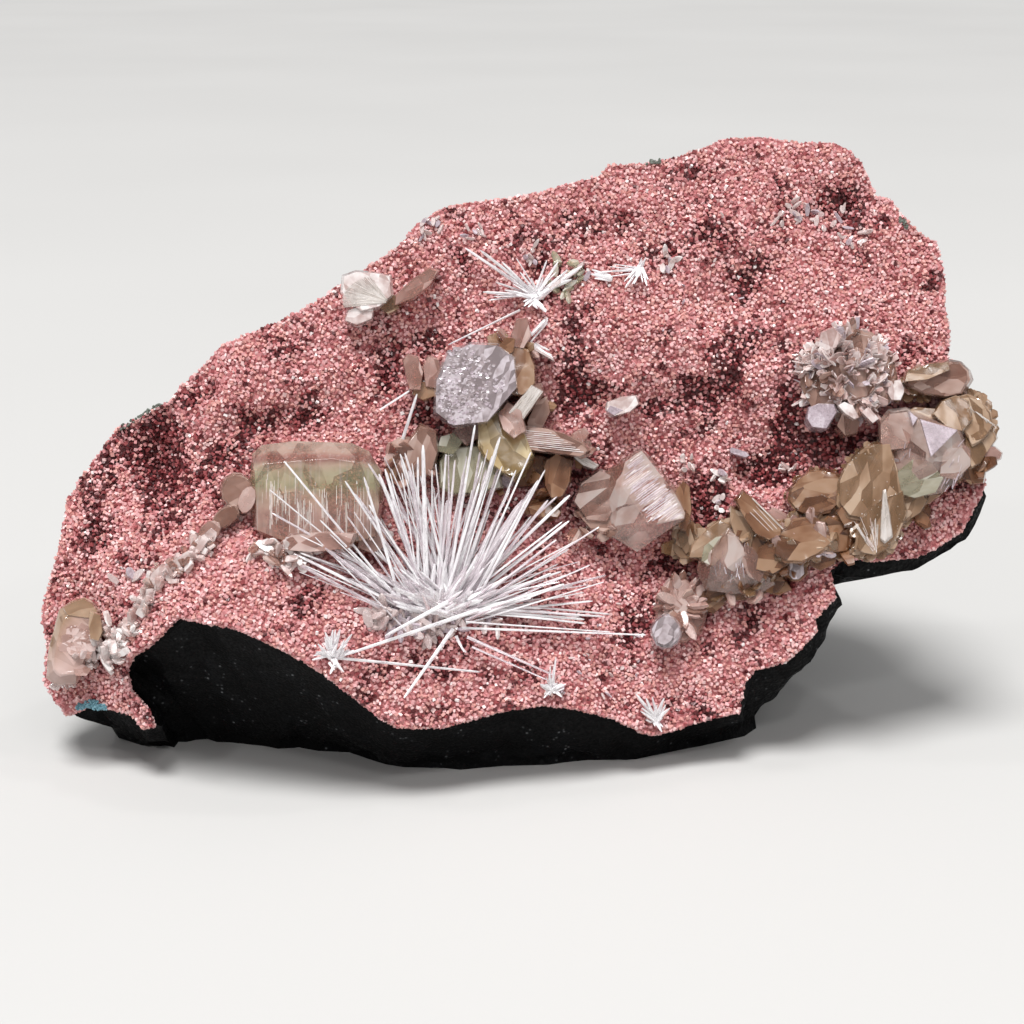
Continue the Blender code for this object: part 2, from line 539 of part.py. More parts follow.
def close_back(bm, ring_verts, chance):
    """Fill the back of the rock with a loose net of facets."""
    ring = [(v.co.x / MM, v.co.z / MM) for v in ring_verts]
    points = list(ring)
    low = (min(p[0] for p in ring), min(p[1] for p in ring))
    high = (max(p[0] for p in ring), max(p[1] for p in ring))
    for row in range(int((high[1] - low[1]) / BACK_NET) + 1):
        for column in range(int((high[0] - low[0]) / BACK_NET) + 1):
            across = low[0] + (column + 0.5 * (row % 2)) * BACK_NET + chance.uniform(-BACK_SHIFT, BACK_SHIFT)
            place = (across, low[1] + row * BACK_NET + chance.uniform(-BACK_SHIFT, BACK_SHIFT))
            if inside(place, ring) and min(math.dist(place, p) for p in ring) > BACK_NET * 0.5:
                points.append(place)
    loop = [(i, (i + 1) % len(ring)) for i in range(len(ring))]
    net = delaunay_2d_cdt([Vector(p) for p in points], loop, [list(range(len(ring)))], 1, 1e-4)
    verts = list(ring_verts)
    for place in net[0][len(ring):]:
        near = min(range(len(ring)), key=lambda i: math.dist(place, ring[i]))
        start = ring_verts[near].co.y / MM
        share = min(1.0, math.dist(place, ring[near]) / BACK_ROUND)
        depth = start + (FOOT.y + BACK_DEPTH - start) * share + chance.uniform(-1, 1) * ROCK_SWELL
        verts.append(bm.verts.new(Vector((place.x, depth, place.y)) * MM))
    for triangle in net[2]:
        bm.faces.new([verts[i] for i in triangle])


def make_basalt(net):
    """The basalt matrix: the back of the crust, lofted back in rings and cut flat below."""
    places, triangles, rim_count = net
    chance = random.Random(5)
    rim = places[:rim_count]
    bm = bmesh.new()
    front = []
    for across, up in places:
        proud = relief(across, up) + grain_swell(across, up) - CRUST_THICK - GAP
        front.append(bm.verts.new(on_face(across, up, proud)))
    for triangle in triangles:
        bm.faces.new([front[i] for i in triangle])
    lip = lip_ring(rim, outward_turns(rim))
    base = Vector((FOOT.x, FOOT.y, 0.0))
    middle = [base + p for p in station_ring(rim, 1)]
    back = [base + p for p in station_ring(rim, 2)]
    halfway = [a.lerp(b, 0.5) for a, b in zip(lip, middle)]
    rear = [a.lerp(b, 0.5) for a, b in zip(middle, back)]
    previous = front[:rim_count]
    steps = ((lip, 1, 0.25), (halfway, 2, 0.8), (middle, 2, ROCK_SWELL), (rear, 4, ROCK_SWELL), (back, 4, 1.0))
    for ring, every, rough in steps:
        verts = [bm.verts.new(broken(point, chance, rough) * MM) for point in ring[::every]]
        bridge(bm, previous, verts)
        previous = verts
    close_back(bm, previous, chance)
    bmesh.ops.triangulate(bm, faces=bm.faces)
    rock = list(bm.verts) + list(bm.edges) + list(bm.faces)
    cut = bmesh.ops.bisect_plane(bm, geom=rock, plane_co=(0, 0, 0), plane_no=(0, 0, 1), clear_inner=True)
    open_edges = [e for e in cut["geom_cut"] if isinstance(e, bmesh.types.BMEdge)]
    bmesh.ops.holes_fill(bm, edges=open_edges)
    bmesh.ops.recalc_face_normals(bm, faces=bm.faces)
    return mesh_object("basalt_matrix", bm, "basalt")


def bridge(bm, outer, inner):
    """Join two rings, the second with as many points as the first or half as many."""
    count = len(outer)
    if len(inner) == count:
        for i in range(count):
            j = (i + 1) % count
            bm.faces.new([outer[j], outer[i], inner[i], inner[j]])
        return
    for k in range(len(inner)):
        near, middle, far = outer[2 * k], outer[2 * k + 1], outer[(2 * k + 2) % count]
        this, following = inner[k], inner[(k + 1) % len(inner)]
        bm.faces.new([middle, near, this])
        bm.faces.new([middle, this, following])
        bm.faces.new([far, middle, following])


def hull(bm, points):
    """Add the convex solid around some points."""
    verts = [bm.verts.new(p) for p in points]
    made = bmesh.ops.convex_hull(bm, input=verts)
    spare = {v for v in made["geom_interior"] if isinstance(v, bmesh.types.BMVert)}
    spare |= {v for v in made["geom_unused"] if isinstance(v, bmesh.types.BMVert)}
    bmesh.ops.delete(bm, geom=list(spare), context="VERTS")


def crystal_points(entry, grow=0.0):
    """Corner places of one crystal, whose back is sunk in the druse."""
    form, across, up, length, width, turn, height, slope = entry
    ground = relief(across, up)
    angle = math.radians(turn)
    layers = [(-SUNK - grow, 0.94), (height + grow, 0.78)]
    if length * width > LARGE:
        layers.insert(1, (height * 0.6, 1.0))
    points = []
    for proud, scale in layers:
        for x, y in FORMS[form]:
            along = x * (length + 2 * grow) * scale
            beside = y * (width + 2 * grow) * scale
            at_across = across + along * math.cos(angle) - beside * math.sin(angle)
            at_up = up + along * math.sin(angle) + beside * math.cos(angle)
            points.append(on_face(at_across, at_up, ground + proud + slope * along))
    return points


def needle_points(root, tip, width, grow=0.0):
    """Corner places of one square needle with a chisel tip."""
    axis = (tip - root).normalized()
    side = axis.cross(Vector((0.31, 0.87, 0.38))).normalized()
    other = axis.cross(side)
    half = (width / 2 + grow) * MM
    shoulder = tip - axis * (width * 1.6 * MM)
    end = tip + axis * grow * MM
    corners = [(1, 1), (1, -1), (-1, -1), (-1, 1)]
    points = [root + (side * a + other * b) * half * 1.25 for a, b in corners]
    points += [shoulder + (side * a + other * b) * half * 0.8 for a, b in corners]
    points += [end + side * half * 0.5, end - side * half * 0.5]
    return points


def boolean(target, operand, operation, self_overlap=False):
    """Join or cut one mesh by another with Blender's exact solver."""
    body = mesh_object("body", target)
    tool = mesh_object("tool", operand)
    tool.hide_render = True
    tool.display_type = "WIRE"
    step = body.modifiers.new("boolean", "BOOLEAN")
    step.operation = operation
    step.solver = "EXACT"
    step.use_self = self_overlap
    step.object = tool
    graph = bpy.context.evaluated_depsgraph_get()
    result = bmesh.new()
    result.from_object(body, graph)
    for item in (body, tool):
        mesh = item.data
        bpy.data.objects.remove(item, do_unlink=True)
        bpy.data.meshes.remove(mesh)
    return result


def largest_body(bm):
    """Keep the largest connected body and drop chips that a cut left loose."""
    bodies = []
    seen = set()
    for start in bm.verts:
        if start in seen:
            continue
        group = {start}
        front = [start]
        while front:
            vert = front.pop()
            for edge in vert.link_edges:
                other = edge.other_vert(vert)
                if other not in group:
                    group.add(other)
                    front.append(other)
        seen |= group
        bodies.append(group)
    bodies.sort(key=len, reverse=True)
    loose = [v for group in bodies[1:] for v in group]
    bmesh.ops.delete(bm, geom=loose, context="VERTS")
    return len(bodies) - 1


def joined(solids):
    """Union of convex solids, each a list of corner places."""
    first = bmesh.new()
    hull(first, solids[0])
    if len(solids) == 1:
        return first
    rest = bmesh.new()
    for points in solids[1:]:
        hull(rest, points)
    return boolean(first, rest, "UNION", self_overlap=True)


def trimmed(bm, net, neighbours):
    """Cut away what is sunk in the druse or too near a neighbour."""
    cutter = face_slab(net, GAP, -SLAB_DEEP, spread=0.5)
    bm = boolean(bm, cutter, "DIFFERENCE")
    for solids in neighbours:
        for points in solids:
            tool = bmesh.new()
            hull(tool, points)
            bm = boolean(bm, tool, "DIFFERENCE")
    return bm


def finish_solid(name, bm, material):
    """Clean a cut solid and put it into the scene."""
    bmesh.ops.remove_doubles(bm, verts=bm.verts, dist=WELD)
    bmesh.ops.triangulate(bm, faces=bm.faces)
    dropped = largest_body(bm)
    bmesh.ops.recalc_face_normals(bm, faces=bm.faces)
    made = mesh_object(name, bm, material)
    print(name, "triangles", len(made.data.polygons), "chips dropped", dropped)


def cluster_material(name):
    """The substance that a cluster mostly is."""
    for word in ("stilbite", "apophyllite"):
        if name.startswith(word):
            return word
    if name.startswith("chain"):
        return "stilbite"
    if name.startswith("centre"):
        return "apophyllite"
    return "heulandite blades"


def make_clusters(net):
    """All block, blade and disc crystals."""
    for name in CLUSTER_ORDER:
        bm = joined([crystal_points(entry) for entry in CLUSTERS[name]])
        neighbours = [[crystal_points(e, GAP) for e in CLUSTERS[other]] for other in KEEP_CLEAR.get(name, [])]
        bm = trimmed(bm, net, neighbours)
        finish_solid(name, bm, cluster_material(name))


def spray_solids(spray, grow=0.0):
    """Corner places of a spray: a knot at the root and its needles."""
    across, up = spray["root"]
    ground = relief(across, up)
    root = on_face(across, up, ground + spray["root_height"])
    radius = spray["knot"] + grow
    knot = []
    for tilt in (-20, 15, 55):
        for step in range(6):
            turn = math.radians(step * 60 + tilt)
            flat = math.cos(math.radians(tilt)) * radius
            rise = math.sin(math.radians(tilt)) * radius
            knot.append(on_face(across + flat * math.cos(turn), up + flat * math.sin(turn), ground + rise))
    solids = [knot]
    for tip_across, tip_up, height, width in spray["needles"]:
        tip = on_face(tip_across, tip_up, relief(tip_across, tip_up) + height)
        solids.append(needle_points(root, tip, width, grow))
    return solids


def make_sprays(net):
    """All needle sprays of scolecite."""
    for name, spray in SPRAYS.items():
        bm = joined(spray_solids(spray))
        neighbours = [[crystal_points(e, GAP) for e in CLUSTERS[other]] for other in SPRAY_CLEAR.get(name, [])]
        bm = trimmed(bm, net, neighbours)
        finish_solid(name, bm, "scolecite")


def main():
    """Build the whole specimen."""
    clear_scene()
    net = face_net()
    make_crust(net)
    make_basalt(net)
    make_clusters(net)
    make_sprays(net)


main()
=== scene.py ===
# %% [markdown]
# # A scolecite specimen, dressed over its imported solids
# The real object is a slab of dark basalt. Its face is lined with a pink druse of tiny heulandite
# crystals, and on the druse grew glassy apophyllite blocks, peach stilbite blades and sprays of
# white scolecite needles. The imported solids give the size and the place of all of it, so every
# piece here is built over them, and the fine forms are added as mesh.

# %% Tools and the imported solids
import math
import random

import bmesh
import bpy
import numpy as np
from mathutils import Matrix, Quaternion, Vector, noise
from mathutils.bvhtree import BVHTree
from mathutils.geometry import delaunay_2d_cdt


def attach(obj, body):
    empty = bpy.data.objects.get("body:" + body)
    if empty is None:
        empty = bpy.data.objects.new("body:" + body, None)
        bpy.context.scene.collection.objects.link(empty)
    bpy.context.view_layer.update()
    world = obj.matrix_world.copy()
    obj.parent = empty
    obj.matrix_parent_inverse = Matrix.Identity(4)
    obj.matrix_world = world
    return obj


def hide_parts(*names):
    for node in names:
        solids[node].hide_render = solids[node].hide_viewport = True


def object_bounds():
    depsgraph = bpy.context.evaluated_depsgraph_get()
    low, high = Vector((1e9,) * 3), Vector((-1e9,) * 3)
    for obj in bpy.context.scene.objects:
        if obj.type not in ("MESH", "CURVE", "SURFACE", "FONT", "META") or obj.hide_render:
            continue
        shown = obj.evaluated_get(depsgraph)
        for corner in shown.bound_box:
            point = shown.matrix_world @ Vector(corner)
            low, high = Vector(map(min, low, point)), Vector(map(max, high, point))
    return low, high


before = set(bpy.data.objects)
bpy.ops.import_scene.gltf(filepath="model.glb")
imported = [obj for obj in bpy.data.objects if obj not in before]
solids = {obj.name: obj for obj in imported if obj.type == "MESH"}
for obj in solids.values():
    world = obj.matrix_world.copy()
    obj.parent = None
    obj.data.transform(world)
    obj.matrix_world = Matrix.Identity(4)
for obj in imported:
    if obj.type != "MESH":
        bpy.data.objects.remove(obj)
solid_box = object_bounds()
print("solids:", len(solids), "box in mm:", [[round(c * 1000, 1) for c in v] for v in solid_box])

# %% [markdown]
# ## The face and the eye
# The crystal face leans back, so places on it are easier to give along it: across, up and proud.
# The camera stands where the specimen was seen from. A place that was judged in the
# 1024 x 1024 picture is found again by a line of sight from the camera.

# %% The leaning face and the lines of sight
MM = 0.001
LEAN = math.radians(24)
PITCH = math.radians(17.5)
PICTURE = 1024  # the picture's width in pixels
MIDDLE = PICTURE / 2
FOCAL = 1900  # the lens in pixels
PIXEL = 0.1625  # a pixel on the face in millimetres
RAY_START = 40  # how far off the face a ray starts, in millimetres
ACROSS = Vector((1, 0, 0))
UPWARD = Vector((0, math.sin(LEAN), math.cos(LEAN)))
OUTWARD = Vector((0, -math.cos(LEAN), math.sin(LEAN)))
FACE_FOOT = Vector((-0.9, -33.2, 0)) * MM
EYE = Vector((-0.9, -304.7, 132.2)) * MM
AHEAD = Vector((0, math.cos(PITCH), -math.sin(PITCH)))
OVERHEAD = Vector((0, math.sin(PITCH), math.cos(PITCH)))


def sight(x, y):
    """The direction from the eye through a place in the picture."""
    return (AHEAD * FOCAL + ACROSS * (x - MIDDLE) - OVERHEAD * (y - MIDDLE)).normalized()


def on_face(across, up, proud=0.0):
    """The point at a place on the leaning face, given in millimetres."""
    return FACE_FOOT + (ACROSS * across + UPWARD * up + OUTWARD * proud) * MM


def face_place(point):
    """Across, up and proud of a point, in millimetres."""
    away = (point - FACE_FOOT) / MM
    return away.dot(ACROSS), away.dot(UPWARD), away.dot(OUTWARD)


def picture_place(point):
    """Where the eye sees a point, in the picture."""
    away = point - EYE
    depth = away.dot(AHEAD)
    return MIDDLE + FOCAL * away.dot(ACROSS) / depth, MIDDLE - FOCAL * away.dot(OVERHEAD) / depth


print("the face's foot is seen at:", [round(v) for v in picture_place(FACE_FOOT)])


# %% [markdown]
# ## The skin of the druse
# The solids of the crystals are let into the crust, so the crust has pits under them. A smooth
# sheet is stretched over the crust's outer corners instead. The real druse is lumpier than that:
# it has dark hollows between rounded swellings, so a finer skin is laid over the sheet with
# hollows at the places where they are seen and with lumps by noise. Everything is set on it. The
# hollows also darken the grains and the bed in them, which is painted shade. The hollows could be
# sculpted by hand, but a table of places can be corrected one hollow at a time.

# %% Hollows and swellings
# Hollows, as picture x and y, half width, half height and how dark the hollow is, which sets both
# its depth and its painted shade. A negative one is a raised patch of painted light.
HOLLOWS_AND_PAINTED_SHADE = [
    (165, 455, 24, 54, 1.25), (120, 475, 62, 62, 0.28), (345, 345, 60, 16, 0.22),
    (860, 300, 30, 40, 0.12), (200, 395, 15, 11, 0.7), (225, 455, 18, 15, 0.6),
    (270, 422, 52, 14, 0.55), (390, 365, 14, 30, 0.8), (330, 318, 13, 12, 0.3),
    (425, 340, 20, 12, 0.35), (462, 315, 14, 10, 0.25), (425, 425, 15, 18, 0.55),
    (455, 258, 22, 10, 0.25), (535, 272, 11, 10, 0.4), (625, 232, 19, 13, 0.4),
    (700, 170, 17, 9, 0.35), (715, 240, 19, 16, 0.45), (750, 222, 13, 12, 0.3),
    (842, 203, 24, 22, 0.65), (885, 222, 15, 9, 0.4), (740, 290, 32, 26, 0.6),
    (580, 310, 24, 16, 0.45), (574, 370, 15, 38, 0.95), (592, 395, 24, 14, 0.85),
    (540, 412, 15, 10, 0.9), (660, 404, 38, 11, 0.85), (705, 390, 22, 12, 1.0),
    (732, 360, 15, 26, 0.55), (785, 380, 15, 40, 0.55), (790, 430, 18, 26, 0.85),
    (765, 470, 30, 19, 1.0), (840, 445, 38, 15, 0.9), (530, 470, 14, 18, 0.6),
    (578, 475, 12, 16, 0.5), (570, 512, 20, 15, 0.45), (706, 508, 16, 32, 0.9),
    (676, 555, 20, 17, 0.9), (780, 578, 28, 12, 0.75), (740, 588, 17, 9, 0.5),
    (638, 635, 20, 17, 0.65), (706, 635, 11, 24, 0.45), (602, 550, 14, 15, 0.45),
    (655, 600, 12, 14, 0.3), (320, 602, 24, 17, 0.4), (400, 655, 32, 11, 0.55),
    (432, 672, 38, 11, 0.4), (378, 672, 15, 11, 0.4), (120, 608, 16, 13, 0.35),
    (80, 598, 14, 10, 0.25), (100, 532, 24, 11, 0.35), (920, 512, 18, 12, 0.55),
    (560, 175, 120, 22, -0.2), (800, 160, 60, 18, -0.2), (640, 645, 90, 30, -0.15),
    (300, 650, 60, 30, -0.15), (165, 345, 40, 30, 0.12), (120, 560, 60, 30, 0.12),
    (950, 482, 20, 10, 0.4), (905, 345, 13, 15, 0.4), (682, 700, 15, 15, 0.3),
    (500, 610, 40, 12, 0.3),
]
HOLLOW_REACH = 2.4  # a hollow ends at this many of its half widths
HOLLOW_SHADE = 1.25
# The next waves are noise patches of painted light and shade on the druse.
PAINTED_LIGHT_WAVES = [(3.2, 0.74), (8.5, 0.64)]  # patches of light and dark: size in millimetres and strength
LUMPS = [(6.5, 0.8), (3.1, 0.5)]  # swellings: size and height in millimetres
SKIN_LIFT = 0.25
DEEPEST = 1.5


def hollows_near(x, y):
    """Each hollow near a place in the picture: its darkness, which is its painted shade and its
    depth, how much of it reaches the place, and its narrower half in millimetres."""
    for a, b, wide, high, much in HOLLOWS_AND_PAINTED_SHADE:
        if abs(x - a) < HOLLOW_REACH * wide and abs(y - b) < HOLLOW_REACH * high:
            yield (much, math.exp(-((x - a) / wide) ** 2 - ((y - b) / high) ** 2),
                   min(wide, high) * PIXEL)


def swelling(point, waves):
    """Noise in several sizes, added up. Each wave is its size in millimetres and its strength."""
    return sum(much * noise.noise(point / (size * MM)) for size, much in waves)


def painted_light_at(point):
    """Painted light on the druse at a point, from about 0 in the hollows' painted shade to about 1.
    """
    hollow = sum(much * reach for much, reach, _ in hollows_near(*picture_place(point)))
    return 1.0 - HOLLOW_SHADE * hollow + swelling(point, PAINTED_LIGHT_WAVES)


def relief_at(point):
    """How far the druse stands off the smooth sheet at one of its points, in millimetres."""
    depth = sum(much * min(DEEPEST, half * 0.6) * reach
                for much, reach, half in hollows_near(*picture_place(point)))
    return SKIN_LIFT - depth + swelling(point, LUMPS)


print("hollows drawn by place:", len(HOLLOWS_AND_PAINTED_SHADE))

# %% A skin over the crust, without its pits
SKIN_PITCH = 1.3
SKIN_COLUMNS, SKIN_ROWS = range(-61, 62), range(5, 86)
FACES_OUT = 0.45  # a face of the crust belongs to the front when it looks out at least this much


def ray_tree(mesh):
    return BVHTree.FromPolygons([v.co for v in mesh.vertices], [p.vertices for p in mesh.polygons])


def stretched_skin(mesh):
    """A smooth sheet over the outer corners of the crust."""
    outer = set()
    for face in mesh.polygons:
        if face.normal.dot(OUTWARD) > FACES_OUT:
            outer.update(face.vertices)
    places = [face_place(mesh.vertices[i].co) for i in sorted(outer)]
    flat = [Vector((a, u)) for a, u, _ in places]
    flat, _, faces, origin, _, _ = delaunay_2d_cdt(flat, [], [], 0, 0.01)
    proud = [max(places[i][2] for i in same) for same in origin]
    return BVHTree.FromPolygons([on_face(p.x, p.y, n) for p, n in zip(flat, proud)], faces)


def lumpy_skin(sheet):
    """The fine skin over the smooth sheet, as a grid of points on the face."""
    number, points, faces = {}, [], []
    for i in SKIN_COLUMNS:
        for j in SKIN_ROWS:
            hit = sheet.ray_cast(on_face(i * SKIN_PITCH, j * SKIN_PITCH, RAY_START), -OUTWARD)[0]
            if hit:
                number[i, j] = len(points)
                points.append(hit + OUTWARD * relief_at(hit) * MM)
    for i, j in number:
        ring = [(i, j), (i + 1, j), (i + 1, j + 1), (i, j + 1)]
        if all(corner in number for corner in ring):
            faces.append([number[corner] for corner in ring])
    print("skin:", len(faces), "cells")
    return BVHTree.FromPolygons(points, faces)


crust_tree = ray_tree(solids["druse_crust"].data)
skin_tree = lumpy_skin(stretched_skin(solids["druse_crust"].data))
crystal_trees = [ray_tree(item.data) for name, item in solids.items()
                 if name not in ("druse_crust",
                                 "basalt_matrix") and not name.startswith("scolecite")]


def on_skin(across, up):
    """The skin's point and normal at a place on the face, or None past its edge."""
    point, normal, _, _ = skin_tree.ray_cast(on_face(across, up, RAY_START), -OUTWARD)
    return (point, normal) if point else None


def covered(across, up):
    """True where the crust or a crystal let into it lies under a place on the face."""
    start = on_face(across, up, RAY_START)
    skin = on_skin(across, up)
    if not skin:
        return False
    reach = (start - skin[0]).length + 1.2 * MM
    return any(tree.ray_cast(start, -OUTWARD, reach)[0] for tree in [crust_tree] + crystal_trees)


def seen(x, y, lift=0.0):
    """The point at a place in the picture that stands lift millimetres off the skin."""
    step = OUTWARD * lift * MM
    hit = skin_tree.ray_cast(EYE - step, sight(x, y))[0]
    if hit:
        return hit + step
    # past the skin's edge the place is found in steps, level with the nearest point of the skin
    aim = sight(x, y)
    point = EYE + aim * (270 * MM)
    for _ in range(8):
        near = skin_tree.find_nearest(point)[0]
        point = EYE + aim * (near - EYE).dot(aim)
    return point - aim * (lift * MM / -aim.dot(OUTWARD))


print("skin at the middle of the face:", [round(v, 1) for v in face_place(on_skin(0, 60)[0])])

# %% [markdown]
# ## Making materials
# Each finish is a small tree of nodes. One function adds a node, and one turns the hex colours of
# a colour picker into the linear colours that the shader counts in. The minerals here differ in
# colour, clearness and gloss, but all are crystals with clouds and breaks in them. So one recipe
# makes them all, which is shorter than a tree for each and keeps them alike.

# %% Colours and nodes


def linear(code):
    """An sRGB hex colour as linear numbers."""
    parts = [int(code[i:i + 2], 16) / 255 for i in (1, 3, 5)]
    return (*(c / 12.92 if c <= 0.04045 else ((c + 0.055) / 1.055) ** 2.4 for c in parts), 1.0)


def add(tree, kind, values=(), links=(), stops=(), **settings):
    """Add one shader node with its settings, its fixed inputs, its links and its ramp."""
    item = tree.nodes.new("ShaderNode" + kind)
    for key, value in settings.items():
        setattr(item, key, value)
    for key, value in dict(values).items():
        item.inputs[key].default_value = value
    for key, source in dict(links).items():
        tree.links.new(source, item.inputs[key])
    for place, (spot, colour) in enumerate(stops):
        ramp = item.color_ramp.elements
        stop = ramp[place] if place < len(ramp) else ramp.new(spot)
        stop.position = spot
        stop.color = colour
    return item


def new_finish(name):
    """An empty material and its tree of nodes."""
    made = bpy.data.materials.new(name)
    made.use_nodes = True
    made.node_tree.nodes.clear()
    return made, made.node_tree


# %% One recipe for the minerals
IOR = {"heulandite": 1.5, "scolecite": 1.51, "stilbite": 1.5, "apophyllite": 1.535,
       "celadonite": 1.55}
COAT_ROUGH = 0.12


def mineral(name, tones, size, rough, clear=0.0, bump=0.0, streak=1.0, glint=0.0, veil=0.0,
            fine=None, bands=None, lines=0.0, cells=0.0):
    """A mineral's finish, named for the mineral and then for its look. tones run from its darkest
    to its palest colour, size is the width of its patches in millimetres, streak stretches them
    along the growth of the crystal, clear is how much light goes through, veil how much of it the
    clouds inside hold back, and bump is the depth of its relief in millimetres. bands are tones by
    their place along the growth, lines is how strongly fine pale lines run along it, and cells is
    the width in millimetres of the flat breaks inside, each of which has its own tone."""
    made, tree = new_finish(name)
    place = add(tree, "Attribute", attribute_name="growth").outputs["Vector"]
    spread = add(tree, "Mapping", {"Scale": (1 / streak, 1, 1)}, {"Vector": place}).outputs[0]
    patches = add(tree, "TexNoise", {"Scale": 1 / size, "Detail": 3.0, "Roughness": 0.6},
                  {"Vector": spread}).outputs["Fac"]
    small = add(tree, "TexNoise", {"Scale": 1 / (fine or size * 0.22), "Detail": 2.0},
                {"Vector": spread}).outputs["Fac"]
    both = add(tree, "Mix", {"Factor": 0.35}, {"A": patches, "B": small},
               data_type="FLOAT").outputs[0]
    # Each cell's tone is partly painted light, caught by a break inside.
    if cells:
        breaks = add(tree, "Mapping", {"Scale": (0.42 / cells, 1 / cells, 1 / cells)},
                     {"Vector": place}).outputs[0]
        flats = add(tree, "TexVoronoi", {"Scale": 1.0}, {"Vector": breaks}).outputs["Color"]
        tint = add(tree, "SeparateColor", (), {"Color": flats}).outputs[0]
        both = add(tree, "Mix", {"Factor": 0.32}, {"A": both, "B": tint},
                   data_type="FLOAT").outputs[0]
    steps = [0.34 + 0.32 * i / (len(tones) - 1) for i in range(len(tones))]
    colour = add(tree, "ValToRGB", (), {"Fac": both},
                 [(s, linear(t)) for s, t in zip(steps, tones)]).outputs["Color"]
    if bands:
        low, high = bands[0][0], bands[-1][0]
        along = add(tree, "SeparateXYZ", (), {"Vector": place}).outputs["X"]
        shaken = add(tree, "Math", {1: 1.6, 2: -0.8}, {0: patches},
                     operation="MULTIPLY_ADD").outputs[0]
        level = add(tree, "Math", (), {0: along, 1: shaken}, operation="ADD").outputs[0]
        share = add(tree, "MapRange", {"From Min": low, "From Max": high},
                    {"Value": level}).outputs[0]
        banded = add(tree, "ValToRGB", (), {"Fac": share},
                     [((at - low) / (high - low), linear(t)) for at, t in bands]).outputs["Color"]
        colour = add(tree, "Mix", {"Factor": 0.7}, {"A": colour, "B": banded},
                     data_type="RGBA").outputs["Result"]
    if lines:
        comb = add(tree, "Mapping", {"Scale": (0.12, 3.2, 3.2)}, {"Vector": place}).outputs[0]
        strands = add(tree, "TexNoise", {"Scale": 1.0, "Detail": 2.0},
                      {"Vector": comb}).outputs["Fac"]
        pale = add(tree, "MapRange", {"From Min": 0.54, "From Max": 0.68, "To Max": lines},
                   {"Value": strands}).outputs[0]
        colour = add(tree, "Mix", {"B": linear("#f4eeee")}, {"Factor": pale, "A": colour},
                     data_type="RGBA").outputs["Result"]
    rougher = add(tree, "MapRange", {"From Min": 0.35, "From Max": 0.65, "To Min": rough * 0.65,
                                     "To Max": min(1.0, rough * 1.5)}, {"Value": small}).outputs[0]
    links = {"Base Color": colour, "Roughness": rougher}
    values = {"IOR": IOR[name.split("_")[0]]}
    if clear:
        links["Transmission Weight"] = add(
            tree, "MapRange", {"From Min": 0.38, "From Max": 0.62, "To Min": clear,
                               "To Max": max(0.0, clear - veil)}, {"Value": both}).outputs[0]
    if bump:
        links["Normal"] = add(tree, "Bump", {"Strength": 1.0, "Distance": bump * MM},
                              {"Height": both}).outputs[0]
    if glint:
        values["Coat Weight"] = glint
        values["Coat Roughness"] = COAT_ROUGH
    surface = add(tree, "BsdfPrincipled", values, links)
    add(tree, "OutputMaterial", (), {"Surface": surface.outputs[0]})
    return made


# %% [markdown]
# ## From corners to pieces
# A piece is a mesh that rides on the stone. Each of its points also keeps its growth place, its
# own place in millimetres along, across and out of the crystal that it belongs to, so that the
# patterns in a material run the way that the crystal grew.

# %% One function that makes a piece
SHARP = math.radians(26)  # faces that meet at less than this are shaded as one


def growth_place(points, along=UPWARD, shift=0.0):
    """Each point's place in millimetres along, across and out of the growth direction."""
    side = along.cross(OUTWARD).normalized()
    return [((p.dot(along)) / MM + shift, p.dot(side) / MM + shift * 1.7,
             p.dot(OUTWARD) / MM) for p in points]


def piece(name, points, faces, places, materials, nodes, numbers=None, smooth=False):
    """Make a mesh object, attach it to the root body and hide the solids of the nodes it stands
    for.
    """
    mesh = bpy.data.meshes.new(name)
    mesh.from_pydata([tuple(p) for p in points], [], faces)
    made = bpy.data.objects.new(name, mesh)
    bpy.context.scene.collection.objects.link(made)
    kept = mesh.attributes.new("growth", "FLOAT_VECTOR", "POINT")
    kept.data.foreach_set("vector", np.array(places, dtype=np.float32).ravel())
    for material in materials:
        mesh.materials.append(material)
    if numbers:
        mesh.polygons.foreach_set("material_index", numbers)
    mesh.polygons.foreach_set("use_smooth", [smooth] * len(mesh.polygons))
    if smooth:
        mesh.set_sharp_from_angle(angle=SHARP)
    mesh.update()
    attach(made, "root")
    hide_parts(*nodes)
    print(name, "has", sum(len(f) - 2 for f in faces), "triangles")


# %% [markdown]
# ## Basalt
# Basalt is a fine-grained black lava. Broken, it shows shallow shell-shaped breaks, tiny grey
# feldspar grains and a faint sheen. The copy of the solid is cut finer and each point is moved a
# little in or out by layered noise, which roughens it without changing its size.

# %% Cutting a solid finer
FACES_BACK = -0.2


def cut_finer(solid, cuts, longest, front_only=False):
    """A triangle mesh of a solid, its long edges cut until none is longer than a length."""
    def hidden(edge):
        return front_only and all(f.normal.dot(OUTWARD) < FACES_BACK for f in edge.link_faces)

    build = bmesh.new()
    build.from_mesh(solid.data)
    bmesh.ops.remove_doubles(build, verts=build.verts, dist=0.00001)
    for _ in range(cuts):
        build.normal_update()
        long = [e for e in build.edges if e.calc_length() > longest * MM and not hidden(e)]
        if not long:
            break
        bmesh.ops.subdivide_edges(build, edges=long, cuts=1, use_grid_fill=False)
        bmesh.ops.triangulate(build, faces=build.faces[:])
    build.normal_update()
    return build


# %% Basalt, broken and matt
# Basalt has no gloss of its own. To the eye it is near black and matt, with grey specks where a
# feldspar grain lies in the break. Its grit is finer than a pixel and is drawn as coarse as shows.
ROCK_WAVES = [(9.0, 0.8), (3.4, 0.45), (1.3, 0.2)]  # size and depth in millimetres
ROCK_EDGE = 2.0
ROCK_CUTS = 3
REST_BAND = 0.4  # the foot stays flat up to here
RIM_MARGIN = 3  # no point may rise this near to the crust
ROCK_RISE = 0.5


